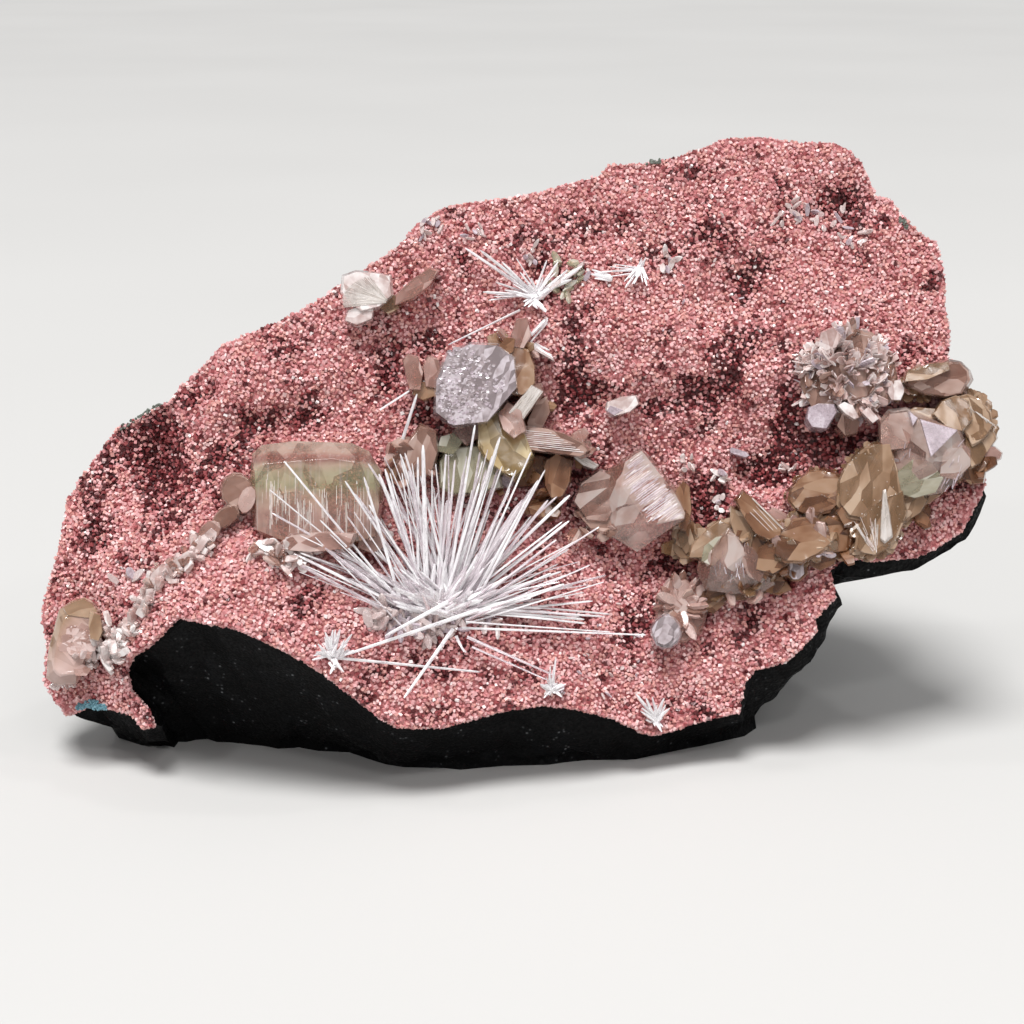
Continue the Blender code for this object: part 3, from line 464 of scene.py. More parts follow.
def basalt_finish():
    made, tree = new_finish("basalt")
    place = add(tree, "TexCoord").outputs["Object"]
    shells = add(tree, "TexNoise", {"Scale": 240.0, "Detail": 6.0, "Roughness": 0.62},
                 {"Vector": place}).outputs["Fac"]
    grit = add(tree, "TexNoise", {"Scale": 2100.0, "Detail": 2.0}, {"Vector": place}).outputs["Fac"]
    specks = add(tree, "TexVoronoi", {"Scale": 900.0}, {"Vector": place}).outputs["Distance"]
    tone = add(tree, "ValToRGB", (), {"Fac": shells},
               [(0.3, linear("#030303")), (0.55, linear("#070708")),
                (0.72, linear("#101113"))]).outputs["Color"]
    dots = add(tree, "ValToRGB", (), {"Fac": specks}, [(0.12, (1, 1, 1, 1)),
                                                       (0.24, (0, 0, 0, 1))]).outputs["Color"]
    few = add(tree, "ValToRGB", (), {"Fac": shells}, [(0.54, (0, 0, 0, 1)),
                                                      (0.66, (1, 1, 1, 1))]).outputs["Color"]
    both = add(tree, "Math", (), {0: dots, 1: few}, operation="MULTIPLY").outputs[0]
    colour = add(tree, "Mix", {"B": linear("#6f7173")}, {"Factor": both, "A": tone},
                 data_type="RGBA").outputs["Result"]
    relief = add(tree, "Mix", {"Factor": 0.4}, {"A": shells, "B": grit},
                 data_type="FLOAT").outputs[0]
    dents = add(tree, "Bump", {"Strength": 1.0, "Distance": 0.5 * MM},
                {"Height": relief}).outputs[0]
    rough = add(tree, "MapRange", {"From Min": 0.35, "From Max": 0.65, "To Min": 0.42,
                                   "To Max": 0.8},
                {"Value": grit}).outputs[0]
    surface = add(tree, "BsdfPrincipled", {"IOR": 1.55, "Specular IOR Level": 0.1},
                  {"Base Color": colour, "Roughness": rough, "Normal": dents})
    add(tree, "OutputMaterial", (), {"Surface": surface.outputs[0]})
    return made


def make_rock():
    build = cut_finer(solids["basalt_matrix"], ROCK_CUTS, ROCK_EDGE)
    low = solid_box[0].z
    for v in build.verts:
        if v.co.z < low + REST_BAND * MM:
            continue
        sink = sum(depth * (noise.noise(v.co / (wave * MM)) - 0.35) for wave, depth in ROCK_WAVES)
        near = crust_tree.find_nearest(v.co)[3] / MM
        v.co += v.normal * min(sink, 0.0 if near < RIM_MARGIN else ROCK_RISE) * MM
    points = [v.co.copy() for v in build.verts]
    faces = [[v.index for v in f.verts] for f in build.faces]
    build.free()
    piece("basalt_rock", points, faces, growth_place(points), [basalt_finish()],
          ["basalt_matrix"])


make_rock()

# %% [markdown]
# ## The druse
# The druse is thousands of heulandite crystals, each well under a millimetre, packed side by side.
# Their faces catch the light at every angle, and the gaps between them lie in shade and look deep
# red. So the bed is painted dark red for the shade of the gaps, and small blunt boxes are sown on
# it, each turned its own way. The bed comes first: a copy of the crust's solid, cut finer, sunk a
# little and given the skin's relief.

# %% The red bed under the grains
# The gaps between the grains lie in shade, so the bed is painted deep red as shade and is half
# matt. Its lit tone goes where the druse is lit, and a darker painted shade goes in the hollows.
BED_EDGE, BED_CUTS = 0.66, 6
BED_SINK, BED_SHAKE = 0.3, 0.16
bed_painted_lit = mineral("heulandite_bed_light", ["#914648", "#b97172", "#d59c9a"], 0.7, 0.45, bump=0.15)
bed_painted_shade = mineral("heulandite_bed_dark", ["#2a0c0e", "#4f1c1f", "#7a3a3b"], 0.7, 0.45, bump=0.15)


def make_bed():
    build = cut_finer(solids["druse_crust"], BED_CUTS, BED_EDGE, True)
    pick = random.Random(2)
    for v in build.verts:
        front = v.normal.dot(OUTWARD)
        sink = (BED_SINK + pick.uniform(-BED_SHAKE, BED_SHAKE)) if front > 0 else 0.0
        v.co -= v.normal * sink * MM
        if front > 0.4:
            v.co += OUTWARD * relief_at(v.co) * MM
    points = [v.co.copy() for v in build.verts]
    faces = [[v.index for v in f.verts] for f in build.faces]
    # Faces with little painted light take the bed's painted shade tint.
    dark = [int(painted_light_at(f.calc_center_median()) < pick.uniform(0.35, 0.8)) for f in build.faces]
    build.free()
    piece("druse_bed", points, faces, growth_place(points), [bed_painted_lit, bed_painted_shade],
          ["druse_crust"], dark)


make_bed()

# %% The floor of the pits
PIT_PITCH, PIT_MARGIN = 1.5, 1.2
PIT_COLUMNS, PIT_ROWS = range(-52, 53), range(5, 74)
PIT_TOP, PIT_FOOT = 0.7, 1.9  # how deep the sheet's two sides lie


def make_floor_of_pits():
    """A thin closed sheet just under the skin, which closes the pits under the crystals."""
    corners = [(da * PIT_MARGIN, du * PIT_MARGIN)
               for da, du in ((1, 1), (1, -1), (-1, 1), (-1, -1))]
    cells = {}
    for i in PIT_COLUMNS:
        for j in PIT_ROWS:
            a, u = i * PIT_PITCH, j * PIT_PITCH
            if all(covered(a + da, u + du) for da, du in corners):
                cells[i, j] = on_skin(a, u)[0]
    top, points, faces = {}, [], []
    for key, point in cells.items():
        top[key] = len(points)
        points += [point - OUTWARD * PIT_TOP * MM, point - OUTWARD * PIT_FOOT * MM]
    edges = {}
    for (i, j) in cells:
        ring = [(i, j), (i + 1, j), (i + 1, j + 1), (i, j + 1)]
        if all(k in top for k in ring):
            faces.append([top[k] for k in ring])
            faces.append([top[k] + 1 for k in reversed(ring)])
            for a, b in zip(ring, ring[1:] + ring[:1]):
                if (b, a) in edges:
                    del edges[b, a]
                else:
                    edges[a, b] = True
    for a, b in edges:
        faces.append([top[b], top[a], top[a] + 1, top[b] + 1])
    used = sorted({i for f in faces for i in f})
    number = {old: new for new, old in enumerate(used)}
    points = [points[i] for i in used]
    faces = [[number[i] for i in f] for f in faces]
    # The sheet lies in the shade under the crystals, so it takes the bed's painted shade tint.
    piece("druse_pit_floor", points, faces, growth_place(points), [bed_painted_shade],
          ["druse_crust"])


make_floor_of_pits()

# %% [markdown]
# ## The grains of the druse
# The grains could be made as one box that is copied at many points, but each real grain has its
# own shape. So each box is made by itself, and none stands nearer to another than a small gap.
# They are sown in seven lots, because a lot has one tint, and the lots are mixed more darkly in
# the hollows, which is painted shade.

# %% Places for the grains
GRAIN_GAP = 0.44  # millimetres between the middles of two grains, at least
GRAIN_TRIES = 150000
RIM_GRAINS = 8  # tries for each square millimetre of the crust's rim
SOWN_ACROSS, SOWN_UP = (-78, 78), (8, 109)
RIM_LOOKS, RIM_HIDDEN = 0.6, -0.3  # the rim looks out less than the one and more than the other


def sown_places():
    """Places for the grains: on the skin, then on the crust's rim, none nearer than the gap."""
    pick = random.Random(11)
    taken, found = {}, []

    def free(point):
        key = tuple(int(c // (GRAIN_GAP * MM)) for c in point)
        for dx in (-1, 0, 1):
            for dy in (-1, 0, 1):
                for dz in (-1, 0, 1):
                    for other in taken.get((key[0] + dx, key[1] + dy, key[2] + dz), ()):
                        if (other - point).length < GRAIN_GAP * MM:
                            return False
        taken.setdefault(key, []).append(point)
        return True

    for _ in range(GRAIN_TRIES):
        across, up = pick.uniform(*SOWN_ACROSS), pick.uniform(*SOWN_UP)
        spot = on_skin(across, up)
        if spot and free(spot[0]) and covered(across, up):
            found.append((spot[0], spot[1], True))
    front = len(found)
    crust = solids["druse_crust"].data
    rim = [f for f in crust.polygons if f.normal.dot(OUTWARD) < RIM_LOOKS]
    for face in rim:
        corners = [crust.vertices[i].co for i in face.vertices]
        for _ in range(int(face.area / MM ** 2 * RIM_GRAINS) + 1):
            a, b = pick.random(), pick.random()
            if a + b > 1:
                a, b = 1 - a, 1 - b
            point = corners[0] + (corners[1] - corners[0]) * a + (corners[2] - corners[0]) * b
            if face.normal.dot(OUTWARD) < RIM_HIDDEN:
                continue
            if any(tree.find_nearest(point, 0.8 * MM)[0] for tree in crystal_trees):
                continue
            if free(point):
                found.append((point, face.normal.copy(), False))
    print("grains on the face:", front, "on the rim:", len(found) - front)
    return found


# %% The grains
# Heulandite has a glassy lustre, so a grain that faces a lamp sparkles and its neighbour stays
# dark. Each lot has its tones, then its share of the grains in full light and in the hollows: the
# mix paints light and shade over the grains' own pinks. The white lot is painted glints, and the
# deep and dark lots are painted shade.
LOTS = [
    ("druse_grains_white", ["#f2e6e4", "#fbf4f3"], 0.008, 0.004),
    ("druse_grains_pale", ["#e3b9b7", "#edcbc8"], 0.16, 0.01),
    ("druse_grains_rose", ["#d9a2a3", "#e3b1b1"], 0.33, 0.03),
    ("druse_grains_salmon", ["#d2958f", "#dea8a1"], 0.29, 0.06),
    ("druse_grains_flesh", ["#c27d7e", "#ce8e8f"], 0.18, 0.15),
    ("druse_grains_deep", ["#8b3e41", "#a25557"], 0.04, 0.38),
    ("druse_grains_dark", ["#471518", "#612226"], 0.002, 0.38),
]
BLUNT = (0.55, 0.95)  # how much narrower a grain's far end is


def make_grains():
    places = sown_places()
    pick = random.Random(23)
    lots = [[] for _ in LOTS]
    for point, normal, front in places:
        # The painted light picks the lots here, so the hollows get the painted shade.
        bright = max(0.0, min(1.0, painted_light_at(point)))
        chances = [lit * bright + dim * (1 - bright) for _, _, lit, dim in LOTS]
        lots[pick.choices(range(len(LOTS)), chances)[0]].append((point, normal, front))
    box = np.array([(x, y, z) for z in (-1, 1) for y in (-1, 1) for x in (-1, 1)], dtype=float)
    sides = [(0, 2, 3, 1), (4, 5, 7, 6), (0, 1, 5, 4), (2, 6, 7, 3), (0, 4, 6, 2), (1, 3, 7, 5)]
    low, high = np.array(solid_box[0]), np.array(solid_box[1])
    for (name, tones, _, _), lot in zip(LOTS, lots):
        points, faces, spots = [], [], []
        for point, normal, front in lot:
            half = np.array([pick.uniform(0.2, 0.38), pick.uniform(0.17, 0.32),
                             pick.uniform(0.14, 0.28)]) * MM
            turn = Quaternion([pick.gauss(0, 1) for _ in range(4)]).normalized().to_matrix()
            corners = box * half
            corners[4:, :2] *= pick.uniform(*BLUNT)
            rise = pick.uniform(-0.25, 0.1) if front else pick.uniform(-0.25, 0.0)
            centre = np.array(point + (OUTWARD if front else normal) * rise * MM)
            grain = np.clip(corners @ np.array(turn).T + centre, low, high)
            start = len(points)
            points.extend(grain)
            faces.extend(tuple(start + i for i in side) for side in sides)
            shift = pick.uniform(0, 90)
            spots.extend(tuple(c / half[0] * 0.2 + shift) for c in corners)
        finish = mineral(name.replace("druse_grains", "heulandite"), tones, 0.5, 0.38, glint=0.1)
        piece(name, points, faces, spots, [finish], ["druse_crust"])


make_grains()

# %% [markdown]
# ## Scolecite
# Scolecite grows as slender square prisms that fan out from one root. A thick one is white along
# one side and clear along the other. Hair curves would do for the finest, but a thick one shows its
# faces, so each needle here is a tapered prism with cut edges and a chisel end.

# %% One needle
# Scolecite is silky: fine flaws along the prism scatter the light and look white, and where there
# are none it is like frosted glass.
needle_white = mineral("scolecite_white", ["#e2dade", "#f6f2f4", "#ffffff"], 1.2, 0.3, clear=0.35,
                       veil=0.3, streak=14, glint=0.3)
needle_clear = mineral("scolecite_clear", ["#d8cad0", "#e9dee3", "#f8f3f5"], 0.9, 0.2, clear=0.65,
                       veil=0.4, streak=14, glint=0.3)


def turned(side, face, angle):
    """Two directions at a right angle, turned together by an angle in radians."""
    return (side * math.cos(angle) + face * math.sin(angle),
            face * math.cos(angle) - side * math.sin(angle))


def needle(root, tip, wide, flat=0.6, twist=0.0, taper=0.62):
    """A slender prism with a chisel end. wide is in millimetres."""
    along = (tip - root).normalized()
    side = along.cross(OUTWARD).normalized()
    face = side.cross(along)
    side, face = turned(side, face, twist)
    half = wide * MM / 2
    ring = [(-1, -0.5), (-0.5, -1), (0.5, -1), (1, -0.5), (1, 0.5), (0.5, 1), (-0.5, 1), (-1, 0.5)]
    points = []
    shoulder = tip - along * min(wide * 1.2 * MM, (tip - root).length * 0.3)
    for place, scale in ((root, 1.0), (shoulder, taper)):
        points += [place + (side * a + face * b * flat) * half * scale for a, b in ring]
    points += [tip + side * half * 0.25, tip - side * half * 0.25]
    faces = [tuple(range(7, -1, -1))]
    faces += [(i, (i + 1) % 8, 8 + (i + 1) % 8, 8 + i) for i in range(8)]
    faces += [(15, 8, 17), (8, 9, 17), (9, 10, 16, 17), (10, 11, 16), (11, 12, 16), (12, 13, 16),
              (13, 14, 17, 16), (14, 15, 17)]
    return points, faces, along


def needle_piece(name, rows, material, nodes):
    """Join needles, each given as root, tip, width and twist, in one piece."""
    points, faces, places = [], [], []
    for number, (root, tip, wide, twist) in enumerate(rows):
        corners, sides, along = needle(root, tip, wide, twist=twist)
        start = len(points)
        points += corners
        faces += [tuple(start + i for i in f) for f in sides]
        places += growth_place(corners, along, number * 3.1)
    piece(name, points, faces, places, [material], nodes)


# %% [markdown]
# ## The main spray
# The needles fan out from a knot low on the face. Each thick one is given by the place where its
# tip is seen and by a place further down it. How far a tip stands off the druse can't be seen, so
# that goes by the way that the needle points. The thin ones between them are sown by chance.

# %% How high the fan stands
# The tips' height over the skin by the way that the needle points, from 0 at the right to 180
FAN_HEIGHTS = [(-180, 3), (-156, 4.6), (-115, 7), (-60, 3.4), (-33, 3.4), (-7, 5.4), (10, 11),
               (28, 12), (54, 12.8), (72, 12.9), (90, 10.4), (112, 12), (128, 11.8), (137, 11.3),
               (146, 9.4), (160, 3.4), (180, 3)]
ROOT = (445, 610)
FULL_REACH = 175  # pixels from the root; a shorter needle's tip stands lower


def fan_height(angle):
    """The height of a long needle's tip, in millimetres."""
    for (a, low), (b, high) in zip(FAN_HEIGHTS, FAN_HEIGHTS[1:]):
        if a <= angle <= b:
            return low + (high - low) * (angle - a) / (b - a)
    return 3.0


def tip_height(angle, reach):
    return fan_height(angle) * min(1.0, reach / FULL_REACH)


# %% The needles that are seen
# Tip x and y, a place further down the needle, width, all in pixels
WHITE_FAN = [
    (270, 490, 394, 593, 3.4), (284, 461, 395, 596, 4.4), (299, 556, 390, 601, 6),
    (315, 537, 352, 575, 3), (330, 534, 354, 557, 3), (299, 572, 327, 583, 2),
    (345, 481, 410, 579, 5), (364, 477, 399, 596, 5), (379, 474, 414, 565, 7),
    (385, 469, 401, 524, 6), (390, 473, 408, 540, 3), (401, 461, 418, 521, 4),
    (402, 473, 410, 529, 3), (412, 463, 420, 520, 3), (418, 457, 418, 559, 5),
    (423, 445, 426, 575, 7), (438, 492, 430, 517, 3), (427, 497, 438, 533, 3),
    (446, 454, 438, 577, 5), (475, 425, 451, 570, 5), (480, 500, 464, 567, 4),
    (500, 437, 459, 565, 6), (497, 452, 466, 560, 3), (502, 466, 470, 560, 4),
    (505, 500, 478, 555, 4), (516, 470, 480, 560, 4), (531, 452, 492, 540, 4),
    (538, 480, 486, 575, 5), (545, 470, 500, 556, 4), (570, 495, 512, 550, 6),
    (569, 521, 499, 576, 6), (562, 522, 505, 566, 4), (551, 573, 520, 587, 4),
    (564, 584, 460, 622, 6), (604, 582, 561, 595, 3), (558, 564, 515, 585, 3),
    (566, 575, 520, 592, 3), (578, 540, 540, 560, 3), (531, 516, 490, 566, 4),
    (527, 500, 480, 566, 4), (472, 490, 460, 545, 3), (432, 470, 432, 560, 4),
    (408, 488, 420, 560, 4), (372, 520, 400, 575, 4), (354, 512, 396, 575, 3),
    (320, 520, 380, 580, 4), (306, 566, 360, 590, 3), (456, 640, 464, 650, 3),
]
CLEAR_FAN = [
    (272, 513, 379, 574, 5), (298, 564, 381, 608, 6), (344, 559, 374, 579, 8),
    (355, 494, 405, 559, 5), (347, 516, 389, 576, 4), (447, 500, 440, 567, 7),
    (464, 470, 451, 570, 7), (504, 516, 458, 596, 9), (523, 500, 480, 566, 10),
    (534, 486, 490, 560, 8), (486, 470, 466, 560, 6), (410, 470, 424, 560, 6),
    (392, 500, 414, 570, 6), (599, 527, 494, 594, 4), (590, 565, 520, 596, 4),
    (360, 500, 396, 560, 5), (325, 548, 380, 590, 7), (548, 500, 500, 560, 6),
    (455, 460, 446, 560, 5), (433, 500, 434, 560, 6), (480, 452, 462, 560, 5),
    (340, 592, 362, 600, 3), (510, 488, 482, 548, 6), (556, 540, 512, 574, 5),
]
# Low needles that cross the knot: tip, foot and width, then both ends' heights in millimetres
WHITE_CROSSING = [
    (345, 655, 478, 610, 4, 2.0, 6.0), (564, 584, 460, 616, 2.6, 8.6, 5.4),
    (385, 636, 448, 602, 4.2, 4.0, 6.5), (404, 698, 453, 629, 3.8, 7.0, 3.5),
    (646, 635, 462, 628, 2.4, 5.4, 3.0), (610, 632, 466, 622, 1.8, 4.0, 3.0),
    (464, 652, 456, 636, 3, 2.6, 2.0),
]
CLEAR_CROSSING = [(553, 675, 467, 637, 3.0, 3.4, 3.0), (547, 680, 472, 647, 2.2, 3.0, 2.4)]
ROOT_ROUND = 16  # a needle runs on along its own line until it is this near to the root


def fan_rows(table, seed):
    """Root, tip, width and twist of each drawn needle."""
    pick = random.Random(seed)
    rows = []
    for x, y, x2, y2, wide in table:
        angle = math.degrees(math.atan2(ROOT[1] - y, x - ROOT[0]))
        reach = math.hypot(x - ROOT[0], y - ROOT[1])
        run = math.hypot(x2 - x, y2 - y)
        more = max(0.0, (reach - ROOT_ROUND) / run)
        foot = (x + (x2 - x) * more, y + (y2 - y) * more)
        tip = seen(x, y, tip_height(angle, reach) + pick.uniform(-0.4, 0.4))
        root = seen(foot[0], foot[1], pick.uniform(0.2, 1.8))
        # the widths were read with their glow, so they are cut down, the thin ones the most
        rows.append((root, tip, (0.42 * wide + 0.05 * wide ** 2) * PIXEL, pick.uniform(-0.7, 0.7)))
    return rows


def low_rows(table):
    return [(seen(x2, y2, root), seen(x, y, tip), wide * PIXEL, 0.3)
            for x, y, x2, y2, wide, tip, root in table]


# %% Needles sown between them
KNOT_NEEDLES, THIN_NEEDLES = 80, 130


def filler_rows(count, seed):
    """Thin needles between the drawn ones, shorter and nearer to the knot."""
    pick = random.Random(seed)
    rows = []
    for _ in range(count):
        angle = pick.uniform(-8, 166)
        reach = pick.uniform(45, 168)
        turn = math.radians(angle)
        x, y = ROOT[0] + reach * math.cos(turn), ROOT[1] - reach * math.sin(turn)
        lean = math.radians(angle + pick.uniform(-6, 6))
        foot = (x - (reach - 8) * math.cos(lean), y + (reach - 8) * math.sin(lean))
        tip = seen(x, y, tip_height(angle, reach) * pick.uniform(0.5, 1.1))
        rows.append((seen(foot[0], foot[1], pick.uniform(0.0, 1.6)), tip,
                     pick.uniform(0.25, 0.6), pick.uniform(-0.8, 0.8)))
    return rows


def knot_rows(count, seed):
    """Short thick needles that fill the middle of the spray."""
    pick = random.Random(seed)
    rows = []
    for _ in range(count):
        angle = pick.uniform(8, 168)
        reach = pick.uniform(22, 62)
        turn = math.radians(angle)
        foot = (ROOT[0] + pick.uniform(-16, 14), ROOT[1] + pick.uniform(-4, 8))
        tip = seen(foot[0] + reach * math.cos(turn), foot[1] - reach * math.sin(turn),
                   pick.uniform(2.0, 7.0))
        rows.append((seen(foot[0], foot[1], pick.uniform(0.0, 1.0)), tip, pick.uniform(0.5, 1.1),
                     pick.uniform(-0.8, 0.8)))
    return rows


sown = knot_rows(KNOT_NEEDLES, 4) + filler_rows(THIN_NEEDLES, 5)
white_rows = fan_rows(WHITE_FAN, 1) + low_rows(WHITE_CROSSING) + sown[::2]
clear_rows = fan_rows(CLEAR_FAN, 2) + low_rows(CLEAR_CROSSING) + sown[1::2]
needle_piece("scolecite_needles_white", white_rows, needle_white, ["scolecite_spray_main"])
needle_piece("scolecite_needles_clear", clear_rows, needle_clear, ["scolecite_spray_main"])
print("needles in the main spray:", len(white_rows) + len(clear_rows))

# %% [markdown]
# ## Grown crystals
# Apophyllite, stilbite and heulandite grow as solids with flat faces. Each one here is given by
# the outline that it shows: a widest ring, a smaller crown ring further out, and a foot that is
# sunk in the druse. Modelling each face by hand would take long. The convex hull of the three
# rings gives flat faces by itself, and a narrow bevel gives each edge a line of light.

# %% Places and outlines


def facing(tilt):
    """The face's outward direction turned to the right and upward by two angles in degrees."""
    right, up = (math.radians(t) for t in tilt)
    away = OUTWARD * math.cos(right) * math.cos(up) + ACROSS * math.sin(right)
    return (away + UPWARD * math.sin(up)).normalized()


def along_face(turn):
    """A direction along the face, by its turn in degrees from the right."""
    return ACROSS * math.cos(math.radians(turn)) + UPWARD * math.sin(math.radians(turn))


def on_plane(x, y, point, normal):
    """The point of a plane that the eye sees at a place in the picture."""
    aim = sight(x, y)
    return EYE + aim * ((point - EYE).dot(normal) / aim.dot(normal))


def middle_of(outline):
    return sum(p[0] for p in outline) / len(outline), sum(p[1] for p in outline) / len(outline)


def ring(text):
    """An outline, written as a drawing file writes a polygon: x,y and x,y and so on."""
    return [tuple(float(c) for c in pair.split(",")) for pair in text.split()]


def oval(x, y, wide, high, turn=0, corners=12):
    """The outline of a rounded crystal."""
    c, s = math.cos(math.radians(turn)), math.sin(math.radians(turn))
    outline = []
    for i in range(corners):
        a = 2 * math.pi * i / corners
        u, v = wide / 2 * math.cos(a), high / 2 * math.sin(a)
        outline.append((x + u * c - v * s, y + u * s + v * c))
    return outline


# %% One crystal from its outline
BEVEL = 0.045  # millimetres
SAME_FACE = math.radians(3)  # faces that meet at less than this are one
WAVE_EDGE = 0.9
FACE_WAVES = [(1.3, 1.0), (0.5, 0.4)]  # a face's unevenness: size in millimetres and share
FOOT_SINK = 1.0


def hull(corners, bevel=BEVEL, wave=0.0):
    """The faceted solid round some corners. wave is how uneven its faces are, in millimetres."""
    build = bmesh.new()
    for corner in corners:
        build.verts.new(corner)
    bmesh.ops.convex_hull(build, input=build.verts)
    bmesh.ops.delete(build, geom=[v for v in build.verts if not v.link_faces], context="VERTS")
    bmesh.ops.dissolve_limit(build, angle_limit=SAME_FACE, verts=build.verts, edges=build.edges)
    if bevel:
        bmesh.ops.bevel(build, geom=build.edges[:], offset=bevel * MM, segments=1, affect="EDGES",
                        clamp_overlap=True)
    bmesh.ops.recalc_face_normals(build, faces=build.faces)
    if wave:
        for _ in range(3):
            long = [e for e in build.edges if e.calc_length() > WAVE_EDGE * MM]
            bmesh.ops.subdivide_edges(build, edges=long, cuts=1, use_grid_fill=False)
            bmesh.ops.triangulate(build, faces=build.faces[:])
        build.normal_update()
        for v in build.verts:
            v.co += v.normal * swelling(v.co, FACE_WAVES) * wave * MM
    build.verts.index_update()
    points = [v.co.copy() for v in build.verts]
    faces = [tuple(v.index for v in f.verts) for f in build.faces]
    build.free()
    return points, faces


def crystal(outline, low, high, inset=0.9, shift=(0, 0), crown=None, tilt=(0, 0), foot=0.86):
    """Corners of one crystal, and the plane of its crown. low and high are heights in mm."""
    x, y = middle_of(outline)
    away = facing(tilt)
    girdle_at = seen(x, y, low)
    crown_at = girdle_at + away * (high - low) * MM
    girdle = [on_plane(a, b, girdle_at, away) for a, b in outline]
    crown = crown or [(x + (a - x) * inset + shift[0], y + (b - y) * inset + shift[1])
                      for a, b in outline]
    top = [on_plane(a, b, crown_at, away) for a, b in crown]
    base = []
    for a, b in outline:
        inner = girdle_at + (on_plane(a, b, girdle_at, away) - girdle_at) * foot
        across, up, _ = face_place(inner)
        skin = on_skin(across, up)
        ground = skin[0] if skin else skin_tree.find_nearest(inner)[0]
        base.append(ground - OUTWARD * FOOT_SINK * MM)
    return girdle + top + base, (crown_at, away)


# %% [markdown]
# ## Clusters
# Crystals that grew together are one piece, with a finish for each tone that they show. On the
# real ones a crown has steps and ribs of growth, and a rim is ragged with thin blades. These are
# too many to model one by one, so a cluster has a way to add each of them, by place or by chance.

# %% A cluster of crystals
STEP_IN, STEP_DOWN = 0.05, 0.3  # how much smaller and lower each step of growth is
LOOSE = 0.06  # how far a step's corners stray
PATTERN_SHIFT = 0.37  # sets each crystal's pattern apart from the others'


class Cluster:
    """Crystals of one substance that are joined in one piece."""

    def __init__(self, name, node, slot, finishes, wave=0.0):
        self.name, self.nodes, self.slot = name, [node], slot
        self.finishes, self.wave = finishes, wave
        self.points, self.faces, self.places, self.numbers = [], [], [], []

    def put(self, finish, points, faces, along):
        start = len(self.points)
        self.points += points
        self.faces += [tuple(start + i for i in f) for f in faces]
        self.places += growth_place(points, along, start * PATTERN_SHIFT)
        self.numbers += [self.finishes.index(finish)] * len(faces)

    def grow(self, finish, outline, low, high, turn=90, layers=1, **shape):
        """Add a crystal that grew along a direction, in degrees from the right on the face, as one
        solid or as steps of growth that stand one on the other."""
        along = along_face(turn)
        x, y = middle_of(outline)
        pick = random.Random(len(self.points))
        right, up = shape.pop("tilt", (0, 0))
        bevel = shape.pop("bevel", BEVEL)
        for step in range(layers):
            size, loose = 1 - STEP_IN * step, LOOSE if layers > 1 else 0.0
            own = []
            for a, b in outline:
                reach = size * (1 + pick.uniform(-loose, loose * 0.6))
                own.append((x + (a - x) * reach, y + (b - y) * reach))
            sway = (right + pick.uniform(-4, 4) * min(step, 1),
                    up + pick.uniform(-4, 4) * min(step, 1))
            top = high - STEP_DOWN * (layers - 1 - step)
            corners, plane = crystal(own, low, top, tilt=sway, **shape)
            self.put(finish, *hull(corners, bevel, self.wave), along)
        return plane

    def fleck(self, finish, x, y, size, plane, pick, slope=14, thick=0.1):
        """Add a small flat growth step on a crystal's crown, at a place in the picture."""
        centre = on_plane(x, y, *plane)
        away = (plane[1] + ACROSS * math.tan(math.radians(pick.uniform(-slope, slope)))
                + UPWARD * math.tan(math.radians(pick.uniform(-slope, slope)))).normalized()
        side = away.cross(UPWARD).normalized()
        other = away.cross(side)
        count, spin = pick.choice((4, 5, 6)), pick.uniform(0, 6.28)
        corners = []
        for i in range(count):
            a = spin + 2 * math.pi * i / count
            out = side * math.cos(a) + other * (math.sin(a) * pick.uniform(0.6, 1.0))
            rim = centre + out * size * MM / 2
            corners += [rim + away * thick * MM / 2, rim - away * thick * MM / 2]
        self.put(finish, *hull(corners, 0), side)

    def blade(self, finish, x, y, lift, long, wide, thick, turn, lean, roll=0.0, point=0.12):
        """Add a thin blade that starts at a place in the picture and points along the face by
        turn and out of it by lean, both in degrees. long, wide and thick are in millimetres."""
        turn, lean, roll = (math.radians(v) for v in (turn, lean, roll))
        flat, side = turned(ACROSS, UPWARD, turn)
        along = flat * math.cos(lean) + OUTWARD * math.sin(lean)
        side, face = turned(side, along.cross(side), roll)
        start = seen(x, y, lift)
        corners = []
        for t, half in ((0.0, 0.32), (0.4, 0.5), (0.8, 0.36), (1.0, point)):
            for edge, top in ((-1, 1), (1, 1), (-1, -1), (1, -1)):
                depth = thick * (0.5 if t < 1 else 0.3) * top
                away = along * (t * long) + side * (edge * half * wide) + face * depth
                corners.append(start + away * MM)
        self.put(finish, *hull(corners, 0.03), along)

    def sow(self, pick, boxes, lift, long, wide, thick, lean, roll, point=0.25):
        """Add blades by chance in boxes of the picture. A box has its x and y ranges, its finish
        or the finishes to pick from, and its count. Each size is one number or a range."""
        def some(value):
            return pick.uniform(*value) if isinstance(value, tuple) else value

        for x0, x1, y0, y1, finish, count in boxes:
            for _ in range(count):
                self.blade(pick.choice(finish) if isinstance(finish, tuple) else finish,
                           pick.uniform(x0, x1), pick.uniform(y0, y1), some(lift), some(long),
                           some(wide), some(thick), pick.uniform(0, 360), some(lean),
                           pick.uniform(-roll, roll), point)

    def fringe(self, finish, outline, lift, count, long, pick, part=(0.0, 1.0)):
        """Add thin blades that stick out round a part of a crystal's rim, its ragged edge."""
        x, y = middle_of(outline)
        for _ in range(count):
            t = (part[0] + pick.random() * (part[1] - part[0])) * len(outline)
            i, share = int(t) % len(outline), t % 1
            near, far = outline[i], outline[(i + 1) % len(outline)]
            a = near[0] * (1 - share) + far[0] * share
            b = near[1] * (1 - share) + far[1] * share
            turn = math.degrees(math.atan2(y - b, a - x)) + pick.uniform(-25, 25)
            size = long * pick.uniform(0.7, 1.3)
            back = 0.72 * size / PIXEL
            a -= back * math.cos(math.radians(turn))
            b += back * math.sin(math.radians(turn))
            self.blade(finish, a, b, lift * pick.uniform(0.45, 0.95), size,
                       size * pick.uniform(0.5, 0.9), pick.uniform(0.2, 0.45), turn,
                       pick.uniform(-6, 14), pick.uniform(-25, 25), 0.2)

